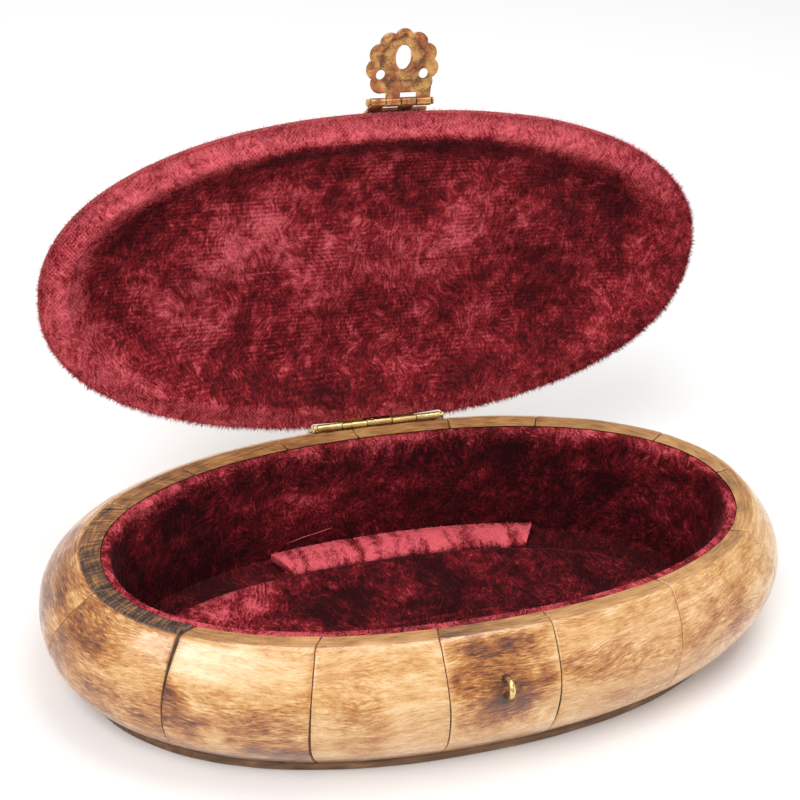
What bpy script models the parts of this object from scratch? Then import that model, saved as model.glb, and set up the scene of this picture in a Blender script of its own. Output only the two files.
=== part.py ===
"""Oval bone box with a hinged lid lined in velvet, shown with its lid open.

Metres, +Z up, X along the box, -Y its front. The origin is the centre of the underside.
The lid is described closed, in the frame of its hinge, and its pivot then turns it open.
"""

import math

import bmesh
import bpy
from mathutils import Matrix, Vector

# Base: a bulging oval wall of bone staves on a thin wooden plate
LENGTH = 0.165
WIDTH = 0.0904
BODY_HEIGHT = 0.0294
WAIST_SHARE = 0.5476
RIM_LENGTH = 0.1496
RIM_WIDTH = 0.0717
FOOT_LENGTH = 0.1494
FOOT_WIDTH = 0.0798
WALL = 0.0043
FRONT_THINNER = 0.0012
RIM_CHAMFER = 0.0005
PLATE_THICKNESS = 0.0021
OVAL_POWER = 2.205
SWELL_POWER = 2.2

# Seams between the staves: the angle round the oval at the rim and at the foot
BASE_SEAMS = (
    (-169.4, -177.0), (-142.2, -141.1), (-116.8, -115.9), (-97.8, -96.2), (-82.6, -82.3),
    (-59.3, -60.6), (-28.8, -25.5), (4.5, 5.5), (31.0, 31.5), (61.7, 61.0),
    (79.0, 79.0), (94.0, 94.0), (107.2, 106.5), (128.2, 128.5), (149.5, 150.0),
)

# Lining of the base: a leaning wall, a floor pad and a strip that fills the gap behind it
LINING = 0.0016
LINING_DROP = 0.0006
LINING_LEAN = 0.0022
PAD_LENGTH = 0.122
PAD_WIDTH = 0.0440
PAD_THICKNESS = 0.0020
PAD_CENTRE = (-0.0032, -0.0036)
STRIP_DEPTH = 0.0080
STRIP_THICKNESS = 0.0022
STRIP_ANGLES = (58.0, 112.0)

# Lid: a ring of curved staves round a flat top of slabs
LID_LENGTH = 0.1514
LID_WIDTH = 0.0742
LID_DOME = 0.0136
LID_BORDER = 0.0200
LID_RIM_FACE = 0.0052
LID_THICKNESS = 0.0044
LID_STAVES = 14
LID_SLABS = 4
OPEN_ANGLE = 95.4

# Lining of the lid: velvet over its rim face with a proud roll, and a padded recess
VELVET = 0.0008
ROLL_PROUD = 0.0006
ROLL_INSET = 0.0048
LID_LINING_INSET = 0.0006
RECESS_DEPTH = 0.0070

# Brass hinge: one leaf on the back of the base, the other on the lid's rim under its velvet
HINGE_WIDTH = 0.0300
HINGE_OUT = 0.00045
HINGE_RISE = 0.0003
HINGE_BARREL = 0.00085
HINGE_LEAF = 0.0005
HINGE_LEAF_DEPTH = 0.0034
BASE_LEAF_DROPS = (0.0015, 0.0029, 0.0044, 0.0059, 0.0074)
HINGE_KNUCKLES = 5

# Brass hasp on the lid's front edge, and its staple on the base
LATCH_X = -0.0004
HASP_OUT = 0.00235
HASP_DROP = 0.0009
HASP_BARREL = 0.00095
HASP_KNUCKLES = 4
HASP_KNUCKLE_WIDTH = 0.0134
HASP_WIDTH = 0.0158
HASP_REACH = 0.0154
HASP_START = 0.0026
HASP_SHEET = 0.0006
HASP_LOBES = 9
HASP_LOBE_DEPTH = 0.0009
HASP_EYE_OFFSET = 0.0047
HASP_EYE_REACH = 0.0059
HASP_EYE_RADIUS = 0.00105
SLOT_LENGTH = 0.0051
SLOT_WIDTH = 0.0034
HASP_PLATE_HEIGHT = 0.0062
LATCH_CLEARANCE = 0.0012
STAPLE_DROP = 0.0075
STAPLE_RADIUS = 0.00165
STAPLE_WIRE = 0.00055
STAPLE_REACH = 0.0010
STAPLE_LEG = 0.0030

# Shared clearances and pins
GAP = 0.0003
PIN_RADIUS = 0.00040
PIN_CLEARANCE = 0.0001
PIN_HEAD = 0.0004

# Fineness of the facets
STAVE_STEPS = 4
WALL_LEVELS = 7
DOME_LEVELS = 6
RING_STEPS = 64
ROUND_STEPS = 14
LOBE_STEPS = 5
SLAB_TIP_ANGLE = 6.0

WAIST_HEIGHT = WAIST_SHARE * BODY_HEIGHT
STAPLE_HEIGHT = BODY_HEIGHT - STAPLE_DROP
BASE_LEAF_HEIGHTS = tuple(BODY_HEIGHT - drop for drop in BASE_LEAF_DROPS)
STAVE_FOOT = PLATE_THICKNESS + GAP
INNER_SHIFT = -FRONT_THINNER / 2
LID_FACE_Z = BODY_HEIGHT + GAP + ROLL_PROUD
LID_BASE_Z = LID_FACE_Z + VELVET + GAP
HINGE_AXIS = Vector((0.0, RIM_WIDTH / 2 + HINGE_OUT, BODY_HEIGHT + HINGE_RISE))
HASP_AXIS = Vector((LATCH_X, -LID_WIDTH / 2 - HASP_OUT, LID_BASE_Z - HASP_DROP))
AXIS_X = Matrix.Rotation(math.radians(90), 4, "Y")


def clear_scene():
    for obj in list(bpy.data.objects):
        bpy.data.objects.remove(obj, do_unlink=True)


def make_collection(name):
    collection = bpy.data.collections.new(name)
    bpy.context.scene.collection.children.link(collection)
    return collection


def make_material(name, colour, roughness, metallic=0.0):
    material = bpy.data.materials.new(name)
    material.use_nodes = True
    shader = material.node_tree.nodes["Principled BSDF"]
    shader.inputs["Base Color"].default_value = (*colour, 1.0)
    shader.inputs["Roughness"].default_value = roughness
    shader.inputs["Metallic"].default_value = metallic
    material.diffuse_color = (*colour, 1.0)
    return material


def place(name, mesh, material, parent, collection):
    """An object for this mesh, in the frame of its parent."""
    obj = bpy.data.objects.new(name, mesh)
    obj.data.materials.append(material)
    obj.parent = parent
    collection.objects.link(obj)
    return obj


def finished_mesh(name, bm, smooth=True):
    bmesh.ops.remove_doubles(bm, verts=bm.verts, dist=1e-6)
    bmesh.ops.recalc_face_normals(bm, faces=bm.faces)
    mesh = bpy.data.meshes.new(name)
    bm.to_mesh(mesh)
    bm.free()
    if smooth:
        mesh.shade_smooth()
        mesh.set_sharp_from_angle(angle=math.radians(35))
    return mesh


def local(point, origin):
    return Vector(point) - origin


def oval_point(half_x, half_y, angle):
    """A point of the superellipse with these half sizes, at an angle in degrees."""
    cos, sin = math.cos(math.radians(angle)), math.sin(math.radians(angle))
    power = 2 / OVAL_POWER
    x = math.copysign(half_x * abs(cos) ** power, cos)
    y = math.copysign(half_y * abs(sin) ** power, sin)
    return x, y


def angle_shift(half_x, half_y, angle, distance):
    """The change of angle that moves a point this distance along the oval."""
    step = 0.5
    x0, y0 = oval_point(half_x, half_y, angle - step)
    x1, y1 = oval_point(half_x, half_y, angle + step)
    return distance * 2 * step / math.hypot(x1 - x0, y1 - y0)


def even_angles(half_x, half_y, count):
    """Angles that part the oval into stretches of equal length."""
    fine = 1440
    points = [oval_point(half_x, half_y, 360 * i / fine) for i in range(fine + 1)]
    along = [0.0]
    for (x0, y0), (x1, y1) in zip(points, points[1:]):
        along.append(along[-1] + math.hypot(x1 - x0, y1 - y0))
    angles = []
    for k in range(count):
        target = along[-1] * (k + 0.5) / count
        index = next(i for i, length in enumerate(along) if length >= target)
        angles.append(360 * index / fine)
    return angles


def wall_half(z):
    """Half length and half width of the base's outside at a height, and of its plate below that."""
    if z >= WAIST_HEIGHT:
        end_x, end_y = RIM_LENGTH / 2, RIM_WIDTH / 2
        share = (z - WAIST_HEIGHT) / (BODY_HEIGHT - WAIST_HEIGHT)
    else:
        end_x, end_y = FOOT_LENGTH / 2, FOOT_WIDTH / 2
        share = min(1.0, (WAIST_HEIGHT - z) / (WAIST_HEIGHT - STAVE_FOOT))
    swell = 1 - share**SWELL_POWER
    return end_x + (LENGTH / 2 - end_x) * swell, end_y + (WIDTH / 2 - end_y) * swell


def dome_z(inset, border, height):
    """Height of a dome above its edge, at an inset from that edge."""
    return height * (1 - (1 - inset / border) ** 2)


def stave_section():
    """Corners of the base's wall as (half x, half y, z), down the outside and up the inside.

    The inside adds a shift in Y, which makes the wall thinner at the front than at the back.
    """
    top = BODY_HEIGHT - RIM_CHAMFER
    levels = [top + (STAVE_FOOT - top) * i / (WALL_LEVELS - 1) for i in range(WALL_LEVELS)]
    rim_x, rim_y = RIM_LENGTH / 2, RIM_WIDTH / 2
    section = [(rim_x - RIM_CHAMFER, rim_y - RIM_CHAMFER, BODY_HEIGHT)]
    section += [(*wall_half(z), z) for z in levels]
    for z in levels[::-1][:-1]:
        half_x, half_y = wall_half(z)
        section.append((half_x - WALL, half_y - WALL - INNER_SHIFT, z, INNER_SHIFT))
    section.append((rim_x - WALL, rim_y - WALL - INNER_SHIFT, BODY_HEIGHT, INNER_SHIFT))
    return section


def lid_stave_section():
    """Corners of the lid's border in the same form, up the outside and down the inside."""
    half_x, half_y = LID_LENGTH / 2, LID_WIDTH / 2
    section = []
    for i in range(DOME_LEVELS):
        inset = LID_BORDER * i / (DOME_LEVELS - 1)
        z = LID_BASE_Z + dome_z(inset, LID_BORDER, LID_DOME)
        section.append((half_x - inset, half_y - inset, z))
    inner_border = LID_BORDER - LID_RIM_FACE
    for i in range(DOME_LEVELS):
        step = inner_border * (1 - i / (DOME_LEVELS - 1))
        z = LID_BASE_Z + dome_z(step, inner_border, LID_DOME - LID_THICKNESS)
        section.append((half_x - LID_RIM_FACE - step, half_y - LID_RIM_FACE - step, z))
    return section


def flat_cap(bm, row):
    bm.faces.new(row)


def zigzag_cap(bm, row):
    """Closes an end that isn't flat, in the same way on both sides of a seam."""
    zigzag = [row[-1 - i // 2] if i % 2 else row[i // 2] for i in range(len(row))]
    for corners in zip(zigzag, zigzag[1:], zigzag[2:]):
        bm.faces.new(corners)


def skin(bm, rows, closed, cap=flat_cap):
    """Quads between rows of vertices, with a cap on each end of an open run."""
    pairs = list(zip(rows, rows[1:]))
    if closed:
        pairs.append((rows[-1], rows[0]))
    for row, following in pairs:
        for k in range(len(row)):
            after = (k + 1) % len(row)
            bm.faces.new((row[k], row[after], following[after], following[k]))
    if not closed:
        cap(bm, rows[0])
        cap(bm, rows[-1])


def sector_mesh(name, section, start, end, steps, origin, height_span):
    """The section swept round the oval from one seam to the next, less half a gap at each.

    start and end hold a seam's angle at the top and at the bottom of height_span.
    """
    bottom, top = height_span
    bm = bmesh.new()
    rows = []
    for j in range(steps + 1):
        row = []
        for half_x, half_y, z, *shift in section:
            share = (top - z) / (top - bottom)
            first = start[0] + (start[1] - start[0]) * share
            last = end[0] + (end[1] - end[0]) * share
            first += angle_shift(half_x, half_y, first, GAP / 2)
            last -= angle_shift(half_x, half_y, last, GAP / 2)
            angle = first + (last - first) * j / steps
            x, y = oval_point(half_x, half_y, angle)
            row.append(bm.verts.new(local((x, y + sum(shift), z), origin)))
        rows.append(row)
    skin(bm, rows, closed=False, cap=zigzag_cap)
    return finished_mesh(name, bm)


def ring_mesh(name, section, origin):
    """The section swept once round the oval."""
    bm = bmesh.new()
    rows = []
    for j in range(RING_STEPS):
        angle = 360 * (j + 0.5) / RING_STEPS
        row = []
        for half_x, half_y, z, *shift in section:
            x, y = oval_point(half_x, half_y, angle)
            row.append(bm.verts.new(local((x, y + sum(shift), z), origin)))
        rows.append(row)
    skin(bm, rows, closed=True)
    return finished_mesh(name, bm)


def stacked_mesh(name, levels, origin, centre=(0.0, 0.0), steps=RING_STEPS):
    """A solid of ovals set one on another, closed by its first and its last."""
    bm = bmesh.new()
    rings = []
    for half_x, half_y, z in levels:
        ring = []
        for j in range(steps):
            x, y = oval_point(half_x, half_y, 360 * (j + 0.5) / steps)
            ring.append(bm.verts.new(local((x + centre[0], y + centre[1], z), origin)))
        rings.append(ring)
    skin(bm, rings, closed=False)
    return finished_mesh(name, bm)


def bar_mesh(name, corners, x0, x1, origin):
    """A bar along X whose section has these (y, z) corners."""
    bm = bmesh.new()
    rows = [[bm.verts.new(local((x, y, z), origin)) for y, z in corners] for x in (x0, x1)]
    skin(bm, rows, closed=False)
    return finished_mesh(name, bm, smooth=False)


def box_corners(y0, y1, z0, z1):
    return [(y0, z0), (y1, z0), (y1, z1), (y0, z1)]


def rod_mesh(name, axis, x0, x1, radius, origin, steps=ROUND_STEPS):
    """A round rod along X."""
    bm = bmesh.new()
    bmesh.ops.create_cone(bm, cap_ends=True, segments=steps, radius1=radius, radius2=radius, depth=x1 - x0)
    middle = local(((x0 + x1) / 2, axis.y, axis.z), origin)
    bmesh.ops.transform(bm, matrix=Matrix.Translation(middle) @ AXIS_X, verts=bm.verts)
    return finished_mesh(name, bm)


def combine(target, helper, operation):
    """Joins a helper object to the target, or cuts the target with it."""
    helper.hide_render = True
    helper.display_type = "WIRE"
    modifier = target.modifiers.new(f"{operation.lower()} {helper.name}", "BOOLEAN")
    modifier.operation = operation
    modifier.object = helper
    modifier.solver = "EXACT"


class Builder:
    """Holds what every sub-part needs: its collections, pivots and materials."""

    def __init__(self):
        self.parts = make_collection("bone inlay box")
        self.helpers = make_collection("cutters")
        self.bone = make_material("toasted bone", (0.72, 0.45, 0.20), 0.32)
        self.wood = make_material("brown wood", (0.24, 0.12, 0.05), 0.5)
        self.velvet = make_material("crimson velvet", (0.30, 0.01, 0.03), 0.9)
        self.brass = make_material("aged brass", (0.55, 0.36, 0.15), 0.4, 0.9)
        self.lid_pivot = self.make_pivot("lid_pivot", HINGE_AXIS, None)
        self.lid_pivot.rotation_euler.x = -math.radians(OPEN_ANGLE)
        self.hasp_pivot = self.make_pivot("hasp_pivot", HASP_AXIS - HINGE_AXIS, self.lid_pivot)

    def make_pivot(self, name, location, parent):
        pivot = bpy.data.objects.new(name, None)
        pivot.location = location
        pivot.parent = parent
        pivot.empty_display_size = 0.01
        self.parts.objects.link(pivot)
        return pivot

    def frame_of(self, body):
        """Parent and origin of the meshes of a body."""
        if body == "base":
            return None, Vector((0, 0, 0))
        if body == "lid":
            return self.lid_pivot, HINGE_AXIS
        return self.hasp_pivot, HASP_AXIS

    def part(self, name, body, material, make, *values, **options):
        parent, origin = self.frame_of(body)
        mesh = make(name, *values, origin=origin, **options)
        return place(name, mesh, material, parent, self.parts)

    def helper(self, name, body, make, *values, **options):
        parent, origin = self.frame_of(body)
        mesh = make(name, *values, origin=origin, **options)
        return place(name, mesh, self.brass, parent, self.helpers)


def build_base(b):
    x, y = wall_half(0.0)
    levels = [(x, y, 0.0), (x, y, PLATE_THICKNESS)]
    b.part("bottom_plate", "base", b.wood, stacked_mesh, levels)
    section = stave_section()
    span = (STAVE_FOOT, BODY_HEIGHT)
    staves = []
    for k, seam in enumerate(BASE_SEAMS):
        following = BASE_SEAMS[(k + 1) % len(BASE_SEAMS)]
        turn = 360 if k + 1 == len(BASE_SEAMS) else 0
        end = (following[0] + turn, following[1] + turn)
        name = f"base_tile_{k + 1:02d}"
        stave = b.part(name, "base", b.bone, sector_mesh, section, seam, end, STAVE_STEPS, height_span=span)
        staves.append(stave)
    return staves


def lining_faces():
    """Half sizes of the lining's outer face at its top and at its bottom."""
    top = (RIM_LENGTH / 2 - WALL - GAP, RIM_WIDTH / 2 - WALL - INNER_SHIFT - GAP)
    bottom = (top[0] - LINING_LEAN, top[1] - LINING_LEAN)
    return top, bottom


def build_base_lining(b):
    top, bottom = lining_faces()
    top_z = BODY_HEIGHT - LINING_DROP
    section = [
        (*top, top_z, INNER_SHIFT),
        (*bottom, STAVE_FOOT, INNER_SHIFT),
        (bottom[0] - LINING, bottom[1] - LINING, STAVE_FOOT, INNER_SHIFT),
        (top[0] - LINING, top[1] - LINING, top_z, INNER_SHIFT),
    ]
    b.part("base_lining_wall", "base", b.velvet, ring_mesh, section)
    half = (PAD_LENGTH / 2, PAD_WIDTH / 2)
    edge = PAD_THICKNESS / 3
    levels = [
        (*half, STAVE_FOOT),
        (*half, STAVE_FOOT + PAD_THICKNESS - edge),
        (half[0] - edge, half[1] - edge, STAVE_FOOT + PAD_THICKNESS),
    ]
    b.part("base_lining_floor", "base", b.velvet, stacked_mesh, levels, centre=PAD_CENTRE, steps=48)
    back = (bottom[0] - LINING - GAP, bottom[1] - LINING - GAP)
    front = (back[0] - STRIP_DEPTH, back[1] - STRIP_DEPTH)
    strip_top = STAVE_FOOT + STRIP_THICKNESS
    section = [
        (*back, strip_top, INNER_SHIFT),
        (*back, STAVE_FOOT, INNER_SHIFT),
        (*front, STAVE_FOOT, INNER_SHIFT),
        (*front, strip_top, INNER_SHIFT),
    ]
    start, end = ((angle, angle) for angle in STRIP_ANGLES)
    span = (STAVE_FOOT, strip_top)
    b.part("base_lining_strip", "base", b.velvet, sector_mesh, section, start, end, 8, height_span=span)


def build_lid(b):
    section = lid_stave_section()
    angles = even_angles(LID_LENGTH / 2, LID_WIDTH / 2, LID_STAVES)
    span = (LID_BASE_Z, LID_BASE_Z + LID_DOME)
    staves = []
    for k, angle in enumerate(angles):
        end = angles[k + 1] if k + 1 < LID_STAVES else angles[0] + 360
        name = f"lid_tile_{k + 1:02d}"
        seams = (angle, angle), (end, end)
        stave = b.part(name, "lid", b.bone, sector_mesh, section, *seams, STAVE_STEPS, height_span=span)
        staves.append(stave)
    half_x = LID_LENGTH / 2 - LID_BORDER - GAP
    half_y = LID_WIDTH / 2 - LID_BORDER - GAP
    for k in range(LID_SLABS):
        cuts = [-half_x + 2 * half_x * (k + side) / LID_SLABS for side in (0, 1)]
        x0 = cuts[0] + (GAP / 2 if k else 0)
        x1 = cuts[1] - (GAP / 2 if k + 1 < LID_SLABS else 0)
        b.part(f"lid_top_{k + 1}", "lid", b.bone, slab_mesh, half_x, half_y, x0, x1)
    return staves


def slab_mesh(name, half_x, half_y, x0, x1, origin, steps=6):
    """The stretch of the lid's flat oval top between two cross cuts."""
    z0, z1 = LID_BASE_Z + LID_DOME - LID_THICKNESS, LID_BASE_Z + LID_DOME
    first = min(angle_at(half_x, x0), 180 - SLAB_TIP_ANGLE)
    last = max(angle_at(half_x, x1), SLAB_TIP_ANGLE)
    bm = bmesh.new()
    rows = []
    for j in range(steps + 1):
        x, y = oval_point(half_x, half_y, first + (last - first) * j / steps)
        corners = ((-y, z0), (y, z0), (y, z1), (-y, z1))
        rows.append([bm.verts.new(local((x, side, z), origin)) for side, z in corners])
    skin(bm, rows, closed=False)
    return finished_mesh(name, bm)


def lid_lining_levels():
    """Ovals of the lid's lining, from the recess out over the roll, and back behind it."""
    half_x, half_y = LID_LENGTH / 2, LID_WIDTH / 2
    slope = LID_BORDER - LID_RIM_FACE
    ceiling = LID_DOME - LID_THICKNESS
    floor_inset = ROLL_INSET + 0.0107
    face = [
        (floor_inset, RECESS_DEPTH),
        (ROLL_INSET + 0.0085, RECESS_DEPTH * 0.93),
        (ROLL_INSET + 0.0062, RECESS_DEPTH * 0.70),
        (ROLL_INSET + 0.0038, RECESS_DEPTH * 0.36),
        (ROLL_INSET + 0.0018, RECESS_DEPTH * 0.06),
        (ROLL_INSET + 0.0010, -ROLL_PROUD * 0.7),
        (ROLL_INSET, -ROLL_PROUD),
        (ROLL_INSET - 0.0009, -ROLL_PROUD * 0.7),
        (ROLL_INSET - 0.0018, 0.0),
        (LID_LINING_INSET, 0.0),
        (LID_LINING_INSET, VELVET),
        (LID_RIM_FACE + GAP, VELVET),
    ]
    for share in (0.17, 0.35, 0.55, 0.8):
        rise = dome_z(slope * share, slope, ceiling)
        face.append((LID_RIM_FACE + slope * share + 1.4 * GAP, VELVET + rise))
    return [(half_x - inset, half_y - inset, LID_FACE_Z + z) for inset, z in face]


def hinge_spans(count, centre, width):
    """Start and end in X of each knuckle of a barrel."""
    step = width / count
    start = centre - width / 2
    return [(start + k * step + GAP / 2, start + (k + 1) * step - GAP / 2) for k in range(count)]


def add_knuckles(b, leaf, body, axis, radius, spans, strap):
    """Adds a strap and a knuckle for each span to a leaf, and bores the pin's hole."""
    for k, (x0, x1) in enumerate(spans):
        name = f"{leaf.name}_knuckle_{k + 1}"
        combine(leaf, b.helper(f"{name}_strap", body, bar_mesh, strap, x0, x1), "UNION")
        combine(leaf, b.helper(name, body, rod_mesh, axis, x0, x1, radius), "UNION")
    bore = PIN_RADIUS + PIN_CLEARANCE
    ends = spans[0][0] - GAP, spans[-1][1] + GAP
    combine(leaf, b.helper(f"{leaf.name}_bore", body, rod_mesh, axis, *ends, bore), "DIFFERENCE")


def add_pin(b, name, body, axis, x0, x1, head_radius):
    pin = b.part(name, body, b.brass, rod_mesh, axis, x0 - GAP - PIN_HEAD, x1 + GAP + PIN_HEAD, PIN_RADIUS)
    for side, (start, end) in enumerate(((x0 - GAP - PIN_HEAD, x0 - GAP), (x1 + GAP, x1 + GAP + PIN_HEAD))):
        head = b.helper(f"{name}_head_{side + 1}", body, rod_mesh, axis, start, end, head_radius)
        combine(pin, head, "UNION")


def base_leaf_section():
    """Section of the base's hinge leaf, which follows the shoulder a gap away from it."""
    faces = []
    for offset in (GAP, GAP + HINGE_LEAF):
        face = []
        for z in BASE_LEAF_HEIGHTS:
            half_x, half_y = wall_half(z)
            fall = (wall_half(z - GAP)[1] - wall_half(z + GAP)[1]) / (2 * GAP)
            normal = Vector((1.0, fall)).normalized()
            face.append((half_x + offset * normal.x, half_y + offset * normal.x, z + offset * normal.y))
        faces.append(face)
    return faces[0] + faces[1][::-1]


def angle_at(half_x, x):
    """The angle at which the back of an oval of this half length reaches x."""
    return math.degrees(math.acos(math.copysign((abs(x) / half_x) ** (OVAL_POWER / 2), x)))


def build_hinge(b, base_staves, lid_staves, lid_lining):
    half = HINGE_WIDTH / 2
    y, z = HINGE_AXIS.y, HINGE_AXIS.z
    spans = hinge_spans(HINGE_KNUCKLES, 0.0, HINGE_WIDTH)
    side = half + GAP + PIN_HEAD + GAP
    cut_x = -side, side

    section = base_leaf_section()
    height_span = BASE_LEAF_HEIGHTS[-1], BASE_LEAF_HEIGHTS[0]
    half_lengths = [wall_half(level)[0] for level in reversed(height_span)]
    start = tuple(angle_at(half_x, half) for half_x in half_lengths)
    end = tuple(180 - angle for angle in start)
    seams = start, end
    base_leaf = b.part("hinge_base_leaf", "base", b.brass, sector_mesh, section, *seams, 6, height_span=height_span)
    low, high = Vector(section[1][1:]), Vector(section[-2][1:])
    strap = [
        (y, z - HINGE_BARREL * 0.9), (y + HINGE_BARREL, z - HINGE_BARREL * 1.3),
        (section[0][1], section[0][2] + HINGE_LEAF / 8), low, high,
        (section[-1][1], section[-1][2] + HINGE_LEAF / 8), (y + HINGE_BARREL, z - HINGE_BARREL / 4), (y, z),
    ]
    add_knuckles(b, base_leaf, "base", HINGE_AXIS, HINGE_BARREL, spans[0::2], strap)
    floor = BASE_LEAF_HEIGHTS[0]
    corners = box_corners(y - HINGE_BARREL - GAP, y + 2 * WALL, floor, z + WALL)
    rebate = b.helper("base_hinge_rebate", "base", bar_mesh, corners, *cut_x)
    for stave in touched(base_staves, RIM_WIDTH / 2, cut_x):
        combine(stave, rebate, "DIFFERENCE")

    leaf_end = y - HINGE_BARREL - GAP
    leaf_start = leaf_end - HINGE_LEAF_DEPTH
    low = LID_BASE_Z + GAP
    high = low + HINGE_LEAF
    leaf_x = -half + GAP / 2, half - GAP / 2
    corners = box_corners(leaf_start, leaf_end, low, high)
    lid_leaf = b.part("hinge_lid_leaf", "lid", b.brass, bar_mesh, corners, *leaf_x)
    strap = [
        (leaf_end - HINGE_LEAF, low), (y - HINGE_LEAF / 2, low), (y - HINGE_LEAF / 2, z),
        (y + HINGE_LEAF / 2, z), (y + HINGE_LEAF / 2, high), (leaf_end - HINGE_LEAF, high),
    ]
    add_knuckles(b, lid_leaf, "lid", HINGE_AXIS, HINGE_BARREL, spans[1::2], strap)
    below, roof = z - HINGE_BARREL - WALL, high + GAP
    rebate_corners = box_corners(leaf_start - GAP, y + WALL, below, roof)
    rebate = b.helper("lid_hinge_rebate", "lid", bar_mesh, rebate_corners, *cut_x)
    for stave in touched(lid_staves, LID_WIDTH / 2, cut_x):
        combine(stave, rebate, "DIFFERENCE")
    notch_corners = box_corners(leaf_end, y + WALL, below, roof)
    notch = b.helper("lid_lining_notch", "lid", bar_mesh, notch_corners, *cut_x)
    combine(lid_lining, notch, "DIFFERENCE")
    add_pin(b, "hinge_pin", "base", HINGE_AXIS, -half, half, HINGE_BARREL)


def touched(staves, half_y, x_span):
    """The staves at the back of the oval that reach into this stretch of X."""
    found = []
    for stave in staves:
        shift = HINGE_AXIS.y if stave.parent else 0.0
        xs = [vertex.co.x for vertex in stave.data.vertices]
        ys = [vertex.co.y + shift for vertex in stave.data.vertices]
        if max(ys) > half_y / 2 and max(xs) > x_span[0] and min(xs) < x_span[1]:
            found.append(stave)
    return found


def hasp_outline():
    """The hasp's scalloped edge as (x, reach from its barrel), left end to right end."""
    half = HASP_WIDTH / 2
    middle = HASP_REACH - half
    low = math.degrees(math.asin((middle - HASP_START) / (half - HASP_LOBE_DEPTH)))
    first, last = 180 + low, -low
    points = []
    for lobe in range(HASP_LOBES):
        for i in range(LOBE_STEPS):
            share = (lobe + i / LOBE_STEPS) / HASP_LOBES
            angle = math.radians(first + (last - first) * share)
            radius = half - HASP_LOBE_DEPTH * (1 - math.sin(math.pi * i / LOBE_STEPS) ** 0.7)
            points.append((radius * math.cos(angle), middle + radius * math.sin(angle)))
    end = math.radians(last)
    radius = half - HASP_LOBE_DEPTH
    points.append((radius * math.cos(end), middle + radius * math.sin(end)))
    return points


def plate_mesh(name, outline, thickness, origin, centre_x, axis):
    """A flat sheet in the lid's plane, with its outline given as (x, reach from the axis)."""
    bm = bmesh.new()
    rows = []
    for z in (-thickness / 2, thickness / 2):
        corners = [(centre_x + x, axis.y - reach, axis.z + z) for x, reach in outline]
        rows.append([bm.verts.new(local(corner, origin)) for corner in corners])
    skin(bm, rows, closed=False)
    return finished_mesh(name, bm, smooth=False)


def round_outline(centre, half_x, half_y, steps=ROUND_STEPS):
    turns = [2 * math.pi * i / steps for i in range(steps)]
    return [(centre[0] + half_x * math.cos(t), centre[1] + half_y * math.sin(t)) for t in turns]


def latch():
    """Foot of the staple, and the hasp's slot reach and angle when it drops over the staple."""
    foot = Vector((LATCH_X, -wall_half(STAPLE_HEIGHT)[1], STAPLE_HEIGHT))
    away = foot - HASP_AXIS
    reach = math.sqrt(away.length**2 - LATCH_CLEARANCE**2)
    angle = math.atan2(-away.z, -away.y) - math.asin(LATCH_CLEARANCE / away.length)
    return foot, reach, angle


def build_hasp(b):
    spans = hinge_spans(HASP_KNUCKLES, LATCH_X, HASP_KNUCKLE_WIDTH)
    y, z = HASP_AXIS.y, HASP_AXIS.z
    sheet = {"centre_x": LATCH_X, "axis": HASP_AXIS}
    hasp = b.part("hasp", "hasp", b.brass, plate_mesh, hasp_outline(), HASP_SHEET, **sheet)
    half = HASP_SHEET / 2
    reach = HASP_START + HASP_SHEET
    strap = [(y, z - half), (y, z + half), (y - reach, z + half), (y - reach, z - half)]
    add_knuckles(b, hasp, "hasp", HASP_AXIS, HASP_BARREL, spans[1::2], strap)
    holes = [round_outline((0.0, latch()[1]), SLOT_WIDTH / 2, SLOT_LENGTH / 2)]
    for side in (-1, 1):
        centre = (side * HASP_EYE_OFFSET, HASP_EYE_REACH)
        holes.append(round_outline(centre, HASP_EYE_RADIUS, HASP_EYE_RADIUS, 12))
    for k, hole in enumerate(holes):
        cutter = b.helper(f"hasp_hole_{k + 1}", "hasp", plate_mesh, hole, 4 * HASP_SHEET, **sheet)
        combine(hasp, cutter, "DIFFERENCE")
    add_pin(b, "hasp_pin", "lid", HASP_AXIS, spans[0][0], spans[-1][1], HASP_BARREL * 0.8)

    outer, inner = [], []
    for i in range(4):
        inset = HASP_PLATE_HEIGHT * i / 3
        surface = (LID_WIDTH / 2 - inset, LID_BASE_Z + dome_z(inset, LID_BORDER, LID_DOME))
        slope = 2 * LID_DOME / LID_BORDER * (1 - inset / LID_BORDER)
        normal = Vector((slope, 1.0)).normalized()
        inner.append((-surface[0] - normal.x * GAP, surface[1] + normal.y * GAP))
        lift = GAP + HASP_SHEET
        outer.append((-surface[0] - normal.x * lift, surface[1] + normal.y * lift))
    section = inner + outer[::-1]
    leaf_x = spans[0][0], spans[-1][1]
    plate = b.part("hasp_plate", "lid", b.brass, bar_mesh, section, *leaf_x)
    strap = [(y + half, z), (y - half, z), outer[0], outer[1], inner[1], inner[0]]
    add_knuckles(b, plate, "lid", HASP_AXIS, HASP_BARREL, spans[0::2], strap)


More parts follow.
